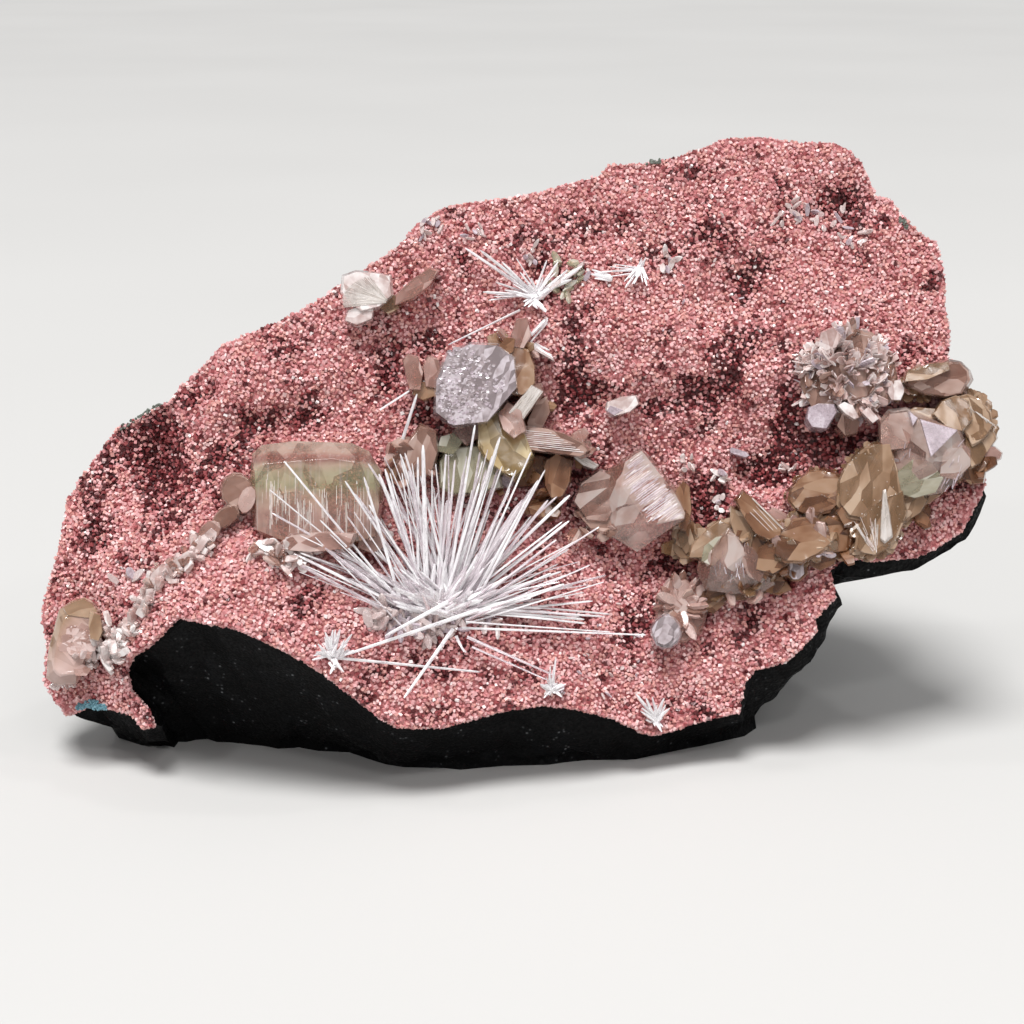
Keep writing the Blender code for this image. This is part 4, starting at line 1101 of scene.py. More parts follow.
    def rib(self, finish, start, end, wide, plane, rise=0.05, flat=0.5):
        """Add a thin rib on a crystal's crown, between two places in the picture."""
        level = plane[0] + plane[1] * rise * MM
        root, tip = (on_plane(x, y, level, plane[1]) for x, y in (start, end))
        points, faces, along = needle(root, tip, wide * PIXEL, flat=flat, taper=0.9)
        self.put(finish, points, faces, along)

    def hatch(self, finishes, outline, angle, gap, plane, pick, wide=(0.4, 0.9), part=(0.4, 1.0)):
        """Cover a part of a crown with ribs that run at an angle, from one rim to another."""
        turn = math.radians(angle)
        along, across = (math.cos(turn), -math.sin(turn)), (math.sin(turn), math.cos(turn))
        spots = [(x * along[0] + y * along[1], x * across[0] + y * across[1]) for x, y in outline]
        at = min(v for _, v in spots) + gap
        while at < max(v for _, v in spots) - gap / 2:
            cuts = []
            for (u, v), (u2, v2) in zip(spots, spots[1:] + spots[:1]):
                if (v - at) * (v2 - at) < 0:
                    cuts.append(u + (u2 - u) * (at - v) / (v2 - v))
            if len(cuts) > 1:
                full = max(cuts) - min(cuts)
                run = full * pick.uniform(*part)
                first = min(cuts) + (full - run) * pick.random()
                ends = [(u * along[0] + at * across[0], u * along[1] + at * across[1])
                        for u in (first, first + run)]
                self.rib(pick.choice(finishes), *ends, pick.uniform(*wide), plane, 0.0)
            at += gap * pick.uniform(0.6, 1.4)

    def finish(self):
        piece(self.name, self.points, self.faces, self.places, self.finishes, self.nodes,
              self.numbers, self.wave > 0)


# %% [markdown]
# ## Finishes of the grown crystals
# Stilbite, apophyllite and heulandite are clear in thin pieces and cloudy in thick ones, with
# breaks inside that catch the light. A volume of cloud would be nearest to that, but it is slow to
# render. So the surface carries the tones: noise for the clouds, and for the breaks cells of some
# two millimetres, each with a tone of its own, which is partly painted light caught by the breaks.

# %% Stilbite
# Stilbite is pearly and half clear. To the eye it is soft peach where it is pale, and honey, tan or
# amber where it is stained, with a broad sheen and no sharp mirror.
STILBITE = dict(veil=0.25, streak=2, fine=2.0, cells=2.0)
peach = mineral("stilbite_peach", ["#b98c7e", "#ca9f93", "#d8b4aa", "#e6ccc4"], 6.0, 0.24,
                clear=0.6, glint=0.4, **STILBITE)
rose = mineral("stilbite_rose", ["#bb9387", "#cca89e", "#dcbfb8", "#ead4cf"], 6.0, 0.28, clear=0.45,
               glint=0.3, **STILBITE)
honey = mineral("stilbite_honey", ["#9a7655", "#ac8768", "#bf9d80", "#d6b99f"], 6.0, 0.18,
                clear=0.6, glint=0.7, **STILBITE)
dusk = mineral("stilbite_dusky", ["#a07565", "#b08777", "#c19b8c", "#d2b4a8"], 6.0, 0.18, clear=0.6,
               glint=0.7, **STILBITE)
tan = mineral("stilbite_tan", ["#7d5238", "#8f6145", "#a27557", "#b79275"], 6.0, 0.18, clear=0.6,
              glint=0.7, **STILBITE)
amber = mineral("stilbite_amber", ["#743f1d", "#905a33", "#a97650", "#c09270"], 5.0, 0.32,
                clear=0.7, glint=0.2, **dict(STILBITE, veil=0.2, cells=1.6))
yellow = mineral("stilbite_yellow", ["#9c8052", "#b09364", "#c4a97a", "#d8c296"], 6.0, 0.18,
                 clear=0.5, glint=0.7, **dict(STILBITE, veil=0.2, cells=2.4))
pearl = mineral("stilbite_pearl", ["#c8bdb4", "#dad0c9", "#eee8e4"], 1.6, 0.28, clear=0.4, veil=0.2,
                streak=6, glint=0.4)

# %% Apophyllite
# Apophyllite is the glassiest of them. To the eye it is clear with a bright shine, pale green where
# it is thick, silvery where its face is frosted, and white like mother-of-pearl on its ends.
APOPHYLLITE = dict(veil=0.25, streak=2, glint=0.7, fine=1.6)
glass = mineral("apophyllite_clear", ["#c79a8a", "#dcb2a4", "#eac9bd", "#f6e2da"], 5.0, 0.12,
                clear=0.8, cells=2.2, **APOPHYLLITE)
green = mineral("apophyllite_green", ["#c4bc9c", "#d8d1b6", "#e6e1cc", "#f4f0e4"], 5.0, 0.12,
                clear=0.68, cells=2.0, **APOPHYLLITE)
silver = mineral("apophyllite_frosted", ["#a99a9c", "#c4b5b8", "#ddd2d8"], 2.4, 0.14, clear=0.5,
                 veil=0.3, glint=1.0, fine=1.0, cells=0.9)
# Its pale tones are partly the crystal's white and partly painted reflection of a lamp on a face
# that shines.
mirror = mineral("apophyllite_bright_face", ["#b7a6ae", "#cbbac3", "#ddd0d8"], 2.4, 0.26, clear=0.3,
                 veil=0.1, glint=0.3, cells=1.6)

# %% Heulandite
# Heulandite in larger plates is colourless. To the eye it is glassy and faintly pink from the druse
# under it, or milky where it is full of fine breaks.
HEULANDITE = dict(veil=0.2, fine=1.5, cells=1.4)
rosy = mineral("heulandite_colourless", ["#deb9b2", "#efd3cd", "#f8e2de", "#fdf0ed"], 3.0, 0.12,
               clear=0.5, glint=0.7, **HEULANDITE)
milky = mineral("heulandite_milky", ["#dcc0ba", "#ecd8d4", "#f6eae7", "#fcf6f4"], 3.0, 0.16,
                clear=0.38, glint=0.6, **HEULANDITE)

# %% Banded crystals


def level(y, x=315, lift=5, turn=90):
    """How far along a growth direction a place in the picture lies, in millimetres."""
    return seen(x, y, lift).dot(along_face(turn)) / MM


# The left crystal is olive along its upper left rim and milky pink further in. The places run along
# its growth, from the rim inward
left_bands = mineral("stilbite_banded", ["#ad8678", "#c19e93", "#d4b6ad", "#e2cac4"], 6.0, 0.18,
                     clear=0.42, glint=0.6, **STILBITE,
                     bands=[(level(y, x, 4, -35), tone) for x, y, tone in (
                         (60, 604, "#957a50"), (58, 634, "#a68560"), (70, 626, "#bf9a86"),
                         (80, 642, "#d8bab2"), (98, 636, "#cfaba0"))])
# The green block by rows of the picture, from its foot to its top
block_bands = mineral("apophyllite_banded", ["#bd9a8b", "#d4b6a9", "#ebd5cb"], 4.0, 0.12,
                      clear=0.74, veil=0.2, glint=0.25, fine=1.6, lines=0.3, cells=2.4,
                      bands=[(level(y), tone) for y, tone in (
                          (545, "#b3926c"), (532, "#cd9f8e"), (512, "#d6ab9c"), (494, "#d3bb9c"),
                          (487, "#bfc492"), (474, "#c5c89c"), (467, "#d9c4a6"), (462, "#a26353"),
                          (457, "#b67868"), (453, "#dbb5a0"), (443, "#e4c9b6"))])
print("finishes so far:", len(bpy.data.materials))

# %% [markdown]
# ## The left end
# A peach stilbite crystal stands at the left end with paler bits at its foot, and a trail of
# small heulandite pieces runs up from it to two tan discs.

# %% Left end
left = Cluster("stilbite_left", "stilbite_left_crystal", "stilbite",
               [left_bands, rose, milky, honey], 0.1)
whole = left.grow(left_bands, ring("46,678 48,651 52,635 56,620 59,610 71,601 84,597 92,601 "
                                   "100,610 103,624 101,640 88,660 76,684 56,686"), 2.2, 4.2, -35,
                  inset=0.74, shift=(1, 2))
left.grow(honey, ring("62,608 72,601 84,598 93,603 99,612 96,620 80,612 66,616"), 3.0, 3.9, 20)
left.grow(honey, ring("90,610 101,614 103,632 99,642 90,640 88,624"), 3.0, 3.95, 80)
pick = random.Random(31)
for _ in range(26):
    left.fleck(rose, pick.gauss(78, 7), pick.gauss(640, 12), pick.uniform(1.0, 3.2), whole, pick, 6,
               0.12)
for x0, x1, y0, y1, count, long, lift, aim in ((84, 120, 640, 662, 46, 2.8, 1.8, 20),
                                               (104, 122, 626, 650, 14, 3.0, 1.0, 50),
                                               (54, 76, 672, 690, 44, 1.7, 3.2, 90),
                                               (66, 88, 650, 668, 10, 2.0, 4.4, 70)):
    for _ in range(count):
        left.blade(milky, pick.uniform(x0, x1), pick.uniform(y0, y1), lift * pick.uniform(0.3, 1.2),
                   long * pick.uniform(0.5, 1.1), long * pick.uniform(0.3, 0.5),
                   pick.uniform(0.4, 0.8), aim + pick.gauss(0, 60), pick.uniform(5, 60),
                   pick.uniform(-60, 60), 0.4)
left.finish()

trail = Cluster("heulandite_trail_bits", "heulandite_trail", "heulandite_blades",
                [milky, rosy, glass])
for finish, x, y, long, wide, turn in [
    (milky, 112, 640, 4.0, 2.0, 40), (rosy, 126, 630, 3.8, 1.9, 30),
    (milky, 139, 615, 3.6, 2.0, 48), (rosy, 146, 600, 4.4, 2.4, 62), (rosy, 153, 586, 3.8, 2.2, 56),
    (milky, 166, 576, 3.8, 2.0, 45), (rosy, 180, 565, 3.8, 2.0, 38),
    (milky, 193, 553, 3.4, 1.9, 46), (rosy, 203, 545, 3.0, 2.2, 50),
]:
    trail.blade(finish, x, y, 0.5, long, wide, 1.2, turn, 12, pick.uniform(-20, 20), 0.3)
    for _ in range(11):
        trail.blade(pick.choice((milky, rosy, rosy, glass)), x + pick.uniform(-8, 8),
                    y + pick.uniform(-9, 7), pick.uniform(0.1, 0.9), pick.uniform(1.1, 2.3),
                    pick.uniform(0.7, 1.4), pick.uniform(0.5, 0.9), turn + pick.gauss(0, 60),
                    pick.uniform(5, 60), pick.uniform(-60, 60), 0.42)
trail.finish()

discs = Cluster("stilbite_left_discs_dressed", "stilbite_left_discs", "stilbite",
                [dusk, peach, glass], 0.09)
discs.grow(dusk, oval(237, 491, 36, 38, 0, 14), 2.0, 3.9, 20, layers=3)
discs.grow(peach, oval(247, 500, 18, 30, 20, 12), 2.4, 4.1, 60)
discs.grow(dusk, oval(226, 517, 34, 20, -35, 12), 1.6, 3.2, 30, layers=2)
discs.grow(peach, oval(210, 531, 30, 20, -40, 10), 1.4, 2.6, 30, layers=2)
discs.finish()

# %% [markdown]
# ## The green block
# Apophyllite grows as blocky prisms with fine lines up their sides. The block's top face is
# tan, a red band shows through under it, and white ribs stand on its pale green front.

# %% Green block
block = Cluster("apophyllite_green_block_dressed", "apophyllite_green_block", "apophyllite",
                [block_bands, glass, pearl, peach, milky])
FRONT_OUTLINE = ring("250,478 252,454 262,445 294,441 352,443 369,451 380,470 382,504 379,538 "
                     "347,547 291,547 268,543 252,530")
FRONT_CROWN = ring("255,474 262,464 288,461 330,458.5 361,463 373,474 379,505 375,536 345,544 "
                   "292,544 257,530")
front = block.grow(block_bands, FRONT_OUTLINE, 2.8, 5.6, 90, crown=FRONT_CROWN, bevel=0.012)
block.grow(peach, ring("278,545 290,533 330,531 358,533 352,549 310,553 284,551"), 3.0, 5.3, 0)
block.grow(peach, ring("356,549 360,530 374,520 387,527 387,547 372,555"),
           2.4, 4.6, 70, tilt=(8, -6))
block.grow(peach, ring("362,478 370,456 382,470 384,500 376,520 366,510"),
           3.0, 5.4, 90, tilt=(16, 0))
pick = random.Random(17)
loose = (milky, milky, glass)
block.sow(pick, [(256, 276, 539, 550, loose, 16), (272, 304, 552, 566, loose, 24),
                 (296, 316, 542, 558, loose, 16), (362, 386, 524, 550, loose, 12)],
          lift=(0.6, 2.4), long=(1.6, 3.2), wide=(0.8, 1.6), thick=0.4, lean=(5, 50), roll=60,
          point=0.2)
pick = random.Random(3)
for x0, x1, y0, y1, count in [(262, 276, 478, 517, 20), (276, 291, 488, 524, 22),
                              (296, 312, 496, 535, 34), (312, 331, 486, 530, 28),
                              (336, 349, 500, 533, 22), (354, 372, 484, 530, 16),
                              (258, 376, 470, 500, 22)]:
    for _ in range(count):
        x, top = pick.uniform(x0, x1), pick.uniform(y0, y0 + 16)
        block.rib(pearl if pick.random() < 0.75 else milky, (x, top + pick.uniform(4, y1 - y0)),
                  (x + pick.uniform(-0.4, 0.4), top), pick.uniform(0.35, 0.85), front, -0.02)
block.finish()

# %% [markdown]
# ## The middle cluster
# A silvery apophyllite plate, frosted on its left, is wrapped by yellow stilbite. A bow-tie, a
# striated blade, a brown blade and clear blocks stand round it.

# %% Middle cluster
mid_glass = Cluster("apophyllite_centre", "centre_crystals", "apophyllite",
                    [silver, glass, green, mirror])
plate = mid_glass.grow(silver, ring("433,414 434,380 446,352 470,342 498,343 516,356 519,388 "
                                    "505,405 488,424 452,428"), 3.6, 6.6, 60, inset=0.94)
mid_glass.grow(glass, ring("450,434 460,418 482,418 482,438 466,447"), 2.6, 4.8, 30)
mid_glass.grow(silver, ring("472,404 494,376 512,362 517,388 502,405 484,418"), 5.4, 6.9, 40)
mid_glass.grow(green, ring("436,490 435,460 446,446 478,443 500,456 503,488 482,497 450,497"),
               2.4, 4.6, 90, layers=2)
mid_glass.grow(green, ring("435,452 440,436 454,432 464,442 454,456"), 2.0, 4.0, 90)
mid_glass.grow(mirror, oval(508, 480, 15, 18, 0, 7), 2.2, 4.0, 90)
pick = random.Random(4)
for _ in range(760):
    x, y = pick.uniform(437, 504), pick.uniform(348, 424)
    outside = (x - 437) / 66 + abs(y - 384) / 76 > pick.uniform(0.75, 1.15)
    if outside or x < 436 + abs(y - 392) * 0.3:
        continue
    mid_glass.fleck(silver if pick.random() < 0.7 else mirror, x, y, pick.uniform(0.25, 0.85),
                    plate, pick, 17, 0.07)
mid_glass.finish()

mid = Cluster("stilbite_centre", "centre_crystals", "stilbite",
              [honey, tan, amber, peach, pearl, milky, yellow, dusk], 0.08)
mid.grow(tan, ring("500,350 512,340 530,348 537,366 537,386 524,400 508,396 504,370"),
         2.6, 5.2, 84, layers=2)
mid.grow(yellow, ring("474,448 476,424 490,408 506,399 521,412 526,440 535,456 529,471 515,483 "
                      "500,474 484,464"), 3.4, 7.2, 110, layers=2, tilt=(0, 6))
mid.grow(peach, ring("497,414 507,400 522,410 527,432 514,440 502,430"),
         5.6, 7.5, 110, tilt=(-8, 12))
mid.grow(peach, ring("511,334 516,318 528,318 532,336 524,350 512,348"), 2.4, 4.6, 84)
mid.grow(tan, ring("494,352 506,336 516,338 514,352 502,360"), 2.8, 5.0, 30)
stripes = mid.grow(peach, ring("507,413 531,384 542,383 545,392 524,419 512,420"), 4.8, 7.0, 48)
mid.grow(dusk, ring("526,424 536,400 548,394 551,412 542,430 528,432"), 2.0, 4.6, 60)
bow = mid.grow(dusk, ring("515,434 522,424 546,427 566,433 587,443 594,452 586,459 564,454 540,451 "
                          "520,450"), 3.8, 6.0, -14, layers=2)
mid.grow(tan, ring("543,460 556,450 574,459 572,482 563,499 550,502 543,486"),
         2.8, 5.0, 80, layers=2)
mid.grow(amber, ring("504,482 520,460 532,452 548,456 547,474 538,486 520,488"), 1.4, 3.4, 80)
mid.grow(amber, oval(547, 511, 26, 24, 0, 8), 1.2, 2.8, 0)
mid.grow(dusk, ring("402,474 406,440 420,423 438,430 440,452 432,476 412,480"),
         1.8, 3.6, 80, layers=2)
mid.grow(tan, ring("384,480 386,460 400,453 410,464 406,482"), 1.4, 3.0, 80)
mid.grow(pearl, ring("572,456 580,454 600,465 595,470 582,465"), 2.2, 3.6, -30)
pick = random.Random(6)
mid.sow(pick, [(386, 438, 432, 476, (dusk, dusk, peach), 14),
               (480, 530, 444, 480, (yellow, amber), 8), (524, 548, 402, 430, (tan, honey), 5),
               (538, 560, 494, 516, (amber, tan), 6), (502, 532, 332, 350, (honey, peach), 5),
               (568, 588, 442, 458, (peach, amber), 4)],
        lift=(0.9, 2.4), long=(2.2, 4.2), wide=(1.6, 2.8), thick=(0.4, 0.8), lean=(10, 55), roll=50)
for i in range(15):
    t = i / 14
    mid.rib(pearl, (509 + 14 * t, 413 + 6 * t), (532 + 11 * t, 385 + 6 * t), 0.9, stripes, 0.08)
for i in range(9):
    mid.rib(milky, (518 + i, 430 + 2.0 * i), (552 + 4 * i, 433 + 2.4 * i), 0.8, bow, 0.08)
mid.finish()

pair = Cluster("stilbite_pair_dressed", "stilbite_pair", "stilbite", [peach, tan], 0.08)
pair.grow(peach, ring("402,360 407,353 418,356 424,372 421,392 409,391"), 2.4, 4.3, 96)
pair.grow(peach, ring("422,366 428,355 439,359 442,374 438,390 425,388"), 2.2, 3.9, 84)
pair.grow(tan, ring("410,394 420,380 436,384 438,396 424,402"), 1.4, 2.8, 0)
pair.finish()

# %% [markdown]
# ## The striated block
# This apophyllite turns a corner to the eye, and one face is covered in fine white lines.

# %% Striated block
lined = Cluster("apophyllite_striated_dressed", "apophyllite_striated", "apophyllite",
                [glass, mirror, milky, tan, dusk, honey])
lined.grow(glass, ring("572,502 580,482 600,468 618,476 620,502 608,524 586,522"), 2.0, 4.4, 30)
lined.grow(dusk, ring("574,512 590,500 612,508 626,528 612,540 590,530"), 1.8, 4.0, 20)
FACE_OUTLINE = ring("601,494 603,473 622,459 641,447 652,458 676,488 687,516 685,521 637,552 "
                    "612,537 604,515")
FACE_CROWN = ring("621,485 627,461 641,450 648,461 674,492 685,513 684,519 649,524 634,503")
face = lined.grow(glass, FACE_OUTLINE, 3.0, 6.4, 36, crown=FACE_CROWN, tilt=(4, 2))
lined.grow(tan, ring("675,489 683,478 690,485 692,510 690,523 686,534 678,530"), 2.8, 5.0, 92)
lined.grow(honey, ring("676,534 684,519 691,525 696,541 691,553 686,557 679,546"),
           1.8, 4.2, 96, layers=2)
pick = random.Random(5)
LINED_PART = ring("622,484 628,462 641,451 648,462 673,493 684,513 683,518 649,523 636,503")
for _ in range(2):
    lined.hatch((mirror, mirror, milky), LINED_PART, 36, 1.9, face, pick)
for start, end in (((611, 494), (617, 500)), ((617, 499), (624, 507)), ((624, 507), (632, 515)),
                   ((611, 517), (624, 516))):
    lined.rib(mirror, start, end, 1.6, (seen(622, 505, 4.7), facing((-14, 0))), 0.0)
lined.sow(pick, [(574, 625, 485, 538, (glass, dusk), 26)],
          lift=(1.4, 3.0), long=(1.6, 3.4), wide=(1.2, 2.4), thick=0.8, lean=(5, 50), roll=50)
lined.finish()

# %% [markdown]
# ## The lower chain
# Pale lens-shaped blades fan out at its lower end, with a silvery oval. Then come a clear pyramid,
# a blade with a white edge, and thick tan stilbite bodies.

# %% Lower chain
chain = Cluster("stilbite_chain_left", "chain_left", "stilbite",
                [peach, honey, tan, amber, pearl, milky, dusk, rose], 0.09)
for finish, outline, low, high, turn, tilt in [
    (peach, ring("655,622 656,596 668,578 686,578 702,592 708,612 702,634 684,644 664,640"),
     1.2, 2.8, 60, (0, 0)),
    (tan, ring("696,608 702,590 718,590 726,604 714,615"), 1.4, 3.0, 10, (4, -6)),
    (tan, ring("704,596 709,577 728,575 738,589 726,603 712,602"), 1.8, 3.8, 10, (4, -8)),
    (tan, ring("722,594 736,581 758,584 768,593 752,601 732,601"), 1.4, 3.2, 0, (0, -12)),
    (amber, ring("760,591 768,572 782,574 793,590 778,596"), 1.2, 2.8, -20, (6, -6)),
    (honey, ring("671,551 670,531 681,520 695,529 701,548 694,562 680,561"), 1.8, 4.0, 60, (-6, 0)),
    (honey, ring("686,560 690,545 706,528 722,518 735,523 730,541 712,551 700,561"),
     2.4, 4.8, 40, (-4, 6)),
    (tan, ring("739,524 752,524 772,543 778,567 767,584 750,566 740,546"), 2.0, 4.6, -55, (-4, 0)),
    (honey, ring("729,504 742,510 756,534 752,554 736,542 729,522"), 3.0, 5.2, -70, (-8, 0)),
    (tan, ring("752,572 757,546 774,536 793,546 791,566 773,577"), 2.2, 5.0, 10, (0, -6)),
    (tan, ring("804,564 820,550 838,550 836,564 820,572"), 1.2, 3.0, 10, (0, -12)),
    (amber, ring("823,546 826,519 842,509 858,520 861,541 848,554 832,554"), 1.8, 4.2, 70, (4, 0)),
    (tan, ring("784,573 784,559 808,559 809,574 800,582 791,582"), 1.8, 3.4, 84, (0, -8)),
]:
    chain.grow(finish, outline, low, high, turn, tilt=tilt, layers=2 if high > 3.9 else 1)
BODY = ring("770,556 775,532 792,517 815,514 832,524 836,543 823,555 802,564 783,565")
chain.grow(tan, BODY, 2.8, 5.4, 4, layers=2, tilt=(2, 4))
pick = random.Random(12)
chain.sow(pick, [(704, 770, 580, 596, (tan, honey, peach), 14),
                 (676, 702, 526, 556, (honey, tan), 8), (742, 768, 520, 556, (tan, honey), 8),
                 (806, 856, 516, 554, (tan, honey, amber), 16),
                 (764, 800, 545, 572, (tan, honey), 10)],
          lift=(1.4, 3.0), long=(2.4, 4.4), wide=(1.6, 2.8), thick=(0.4, 0.8), lean=(10, 60),
          roll=50)
for _ in range(34):
    chain.blade(honey if pick.random() < 0.6 else peach, pick.uniform(772, 826),
                pick.uniform(524, 556), 3.4, pick.uniform(2.4, 4.2), pick.uniform(1.6, 3.0), 0.9,
                pick.uniform(-30, 210), pick.uniform(8, 40), pick.uniform(-35, 35), 0.25)
for _ in range(44):
    a = pick.uniform(0, 360)
    r = pick.uniform(2, 16)
    chain.blade(pick.choice((peach, peach, dusk, rose)), 682 + 0.75 * r * math.cos(math.radians(a)),
                608 - 1.3 * r * math.sin(math.radians(a)), pick.uniform(1.4, 2.6),
                pick.uniform(2.8, 4.6), pick.uniform(1.1, 1.9), pick.uniform(0.4, 0.7),
                a + pick.uniform(-20, 20), pick.uniform(8, 48), pick.uniform(-50, 50), 0.05)
edge = chain.grow(tan, ring("733,500 742,489 752,496 784,526 783,537 770,542 755,535 743,517"),
                  4.4, 6.8, -42, tilt=(-6, -4))
chain.rib(pearl, (783, 529), (752, 498), 1.4, edge, 0.06)
for i in range(3):
    chain.rib(milky, (777 - 4 * i, 529 + i), (756 - 3 * i, 506 + 3 * i), 0.45, edge, 0.06)
chain.fringe(honey, BODY, 4.6, 34, 2.4, pick)
chain.fringe(honey, ring("671,551 681,520 701,529 735,520 730,541 700,561 680,561"),
             3.6, 16, 2.2, pick)
chain.finish()

chain_glass = Cluster("apophyllite_chain_left", "chain_left", "apophyllite",
                      [glass, silver, mirror, green])
POINT_OUTLINE = ring("697,572 699,552 712,540 730,525 747,534 760,552 772,572 776,584 763,592 "
                     "734,594 705,590")
POINT_CROWN = ring("726,534 737,538 746,553 727,568 714,554")
point = chain_glass.grow(glass, POINT_OUTLINE, 2.8, 6.9, 76, crown=POINT_CROWN, tilt=(0, 6))
chain_glass.grow(green, ring("700,562 703,546 716,536 729,534 729,554 712,568"),
                 4.0, 6.2, 40, tilt=(-14, 4))
chain_glass.grow(glass, ring("741,562 744,541 755,549 768,568 761,584 748,578"),
                 3.6, 5.6, -60, tilt=(12, -4))
for _ in range(14):
    x, y = pick.uniform(712, 756), pick.uniform(552, 584)
    chain_glass.rib(silver, (x, y), (x + pick.uniform(-3, 3), y - pick.uniform(6, 16)),
                    pick.uniform(0.6, 1.4), point, -0.2, 0.3)
chain_glass.grow(silver, oval(666, 632, 32, 37, 10, 12), 3.6, 5.2, 60, layers=2)
chain_glass.grow(silver, oval(664, 634, 22, 24, 10, 9), 4.6, 5.5, 60, tilt=(-4, 6))
chain_glass.sow(pick, [(809, 828, 543, 557, mirror, 10)],
                lift=3.2, long=(1.0, 2.2), wide=1.2, thick=0.4, lean=(10, 60), roll=60, point=0.12)
chain_glass.grow(silver, ring("788,575 788,562 804,562 805,574 799,580 793,580"), 2.6, 4.0, 84)
chain_glass.finish()

# %% [markdown]
# ## The right end
# A tan disc and a large yellow plate of stilbite lean on a clear apophyllite pyramid, whose one
# three-cornered face shines. Rounded plates stick out past the edge of the stone.

# %% Right end
right = Cluster("stilbite_chain_right", "chain_right", "stilbite",
                [honey, tan, amber, peach, pearl, milky], 0.09)
DISC = ring("785,501 787,490 797,478 808,470 824,467 838,471 845,484 845,501 835,511 822,516 "
            "804,516 791,511")
for finish, outline, low, high, turn, tilt, layers in [
    (tan, DISC, 2.6, 5.0, 12, (-4, 4), 2),
    (tan, ring("795,511 804,497 822,494 838,501 831,514 812,517"), 3.4, 5.2, 12, (0, -8), 1),
    (amber, ring("823,547 824,516 838,501 856,506 864,528 858,548 840,555"),
     1.4, 3.8, 80, (0, 0), 1),
    (tan, ring("834,510 850,496 870,506 870,532 856,535 843,526"), 3.0, 5.2, 60, (-4, -8), 1),
    (honey, ring("886,524 889,498 904,484 921,489 931,499 922,514 906,524"),
     2.8, 5.2, 60, (8, -6), 2),
    (tan, ring("901,504 910,484 936,482 946,492 929,505"), 1.8, 3.8, 10, (4, -10), 1),
    (tan, ring("936,442 968,436 980,468 959,485 938,474"), 1.4, 3.8, -60, (4, -4), 1),
    (honey, ring("931,414 940,399 956,394 970,400 975,420 964,435 946,431"),
     3.8, 6.4, -58, (2, 6), 2),
    (honey, ring("949,398 956,394 968,392 982,398 993,412 996,428 988,443 972,450 962,432 956,412"),
     3.0, 5.9, -58, (12, 6), 3),
    (honey, ring("963,432 980,422 995,429 998,438 991,450 980,465 970,471 963,452"),
     3.0, 5.6, -70, (16, 0), 2),
    (peach, ring("976,458 984,445 995,446 1003,453 1001,459 986,463"), 3.0, 4.8, -8, (8, -6), 1),
    (tan, ring("958,476 964,452 979,446 988,466 984,484 970,486"), 1.6, 4.0, -70, (10, -4), 1),
    (honey, ring("898,416 914,406 936,408 946,420 924,426"), 2.0, 4.2, 0, (0, 8), 1),
]:
    right.grow(finish, outline, low, high, turn, tilt=tilt, layers=layers)
UPPER_PLATE = ring("835,506 836,482 846,462 860,449 874,441 892,440 899,468 904,496 893,514 "
                   "864,526 846,521")
BIG_PLATE = ring("853,551 856,528 866,509 884,497 905,488 908,514 899,536 888,551 874,558 862,556")
upper = right.grow(honey, UPPER_PLATE, 4.0, 6.5, 76, inset=0.93, tilt=(-4, 2), layers=2)
big = right.grow(honey, BIG_PLATE, 3.6, 6.1, 76, inset=0.93, tilt=(3, -5), layers=2)
right.grow(pearl, ring("880,540 881,512 883,490 886,489 890,512 893,537 885,544"), 6.6, 7.2, 88)
pick = random.Random(8)
for _ in range(34):
    a, near, far = math.radians(pick.uniform(88, 128)), pick.uniform(4, 26), pick.uniform(6, 24)
    x, y = 877 + near * math.cos(a), 557 - near * math.sin(a)
    right.rib(pick.choice((pearl, milky)), (x, y), (x + far * math.cos(a), y - far * math.sin(a)),
              pick.uniform(0.3, 0.7), big, 0.06)
for _ in range(14):
    t = pick.uniform(0, 1)
    x, y = 954 + 36 * t, 396 + 26 * t
    right.rib(pearl, (x, y), (x + pick.uniform(3, 8), y + pick.uniform(3, 8)),
              pick.uniform(0.4, 0.9), (seen(970, 408, 6.1), facing((10, 6))), 0.0)
# The tiny pale flecks on the two plates are painted glints.
for plane, x0, x1, y0, y1 in ((upper, 845, 896, 452, 506), (big, 862, 902, 500, 548)):
    for _ in range(22):
        right.fleck(pearl, pick.uniform(x0, x1), pick.uniform(y0, y1), pick.uniform(0.1, 0.2),
                    plane, pick, 16, 0.14)
right.sow(pick, [(832, 860, 512, 548, (tan, amber), 8), (894, 928, 496, 516, (honey, tan), 6),
                 (934, 986, 402, 466, (honey, honey, peach), 12),
                 (960, 984, 448, 478, (tan, honey), 6)],
          lift=(1.6, 4.0), long=(2.4, 4.4), wide=(1.6, 2.8), thick=(0.4, 0.8), lean=(10, 45),
          roll=45)
right.fringe(honey, BIG_PLATE, 5.2, 40, 2.4, pick)
right.fringe(honey, UPPER_PLATE, 5.2, 14, 1.8, pick)
right.fringe(honey, ring("949,398 956,394 968,392 982,398 993,412 994,428 988,443 980,465 970,471"),
             4.6, 34, 2.2, pick, (0.2, 0.9))
right.fringe(tan, DISC[:9], 3.6, 8, 1.5, pick)
right.finish()

pyramid = Cluster("apophyllite_pyramid", "chain_right", "apophyllite",
                  [glass, mirror, green, silver])
FLANK_OUTLINE = ring("879,442 878,421 888,409 906,407 936,418 968,431 973,462 961,478 942,493 "
                     "910,499 892,487 888,462")
pyramid.grow(glass, FLANK_OUTLINE, 4.4, 9.0, -30,
             crown=[(919, 420), (957, 431), (931, 456)], tilt=(4, 6))
pyramid.grow(glass, ring("879,444 879,424 889,412 908,410 917,430 908,450 888,452"),
             4.6, 6.6, -30, tilt=(-12, 4))
# The shining three-cornered face takes the pale mirror finish, so its shine is partly painted
# reflection.
pyramid.grow(mirror, [(920, 419), (958, 430), (931, 457)],
             8.9, 9.1, -30, inset=0.97, tilt=(4, 6), foot=0.4)
pyramid.grow(mirror, [(909, 411), (918, 418), (913, 426)], 7.6, 8.2, -30, foot=0.4)
pyramid.grow(green, ring("894,494 896,470 914,456 932,460 946,478 937,494 914,500"),
             4.0, 6.9, 20, tilt=(0, -10))
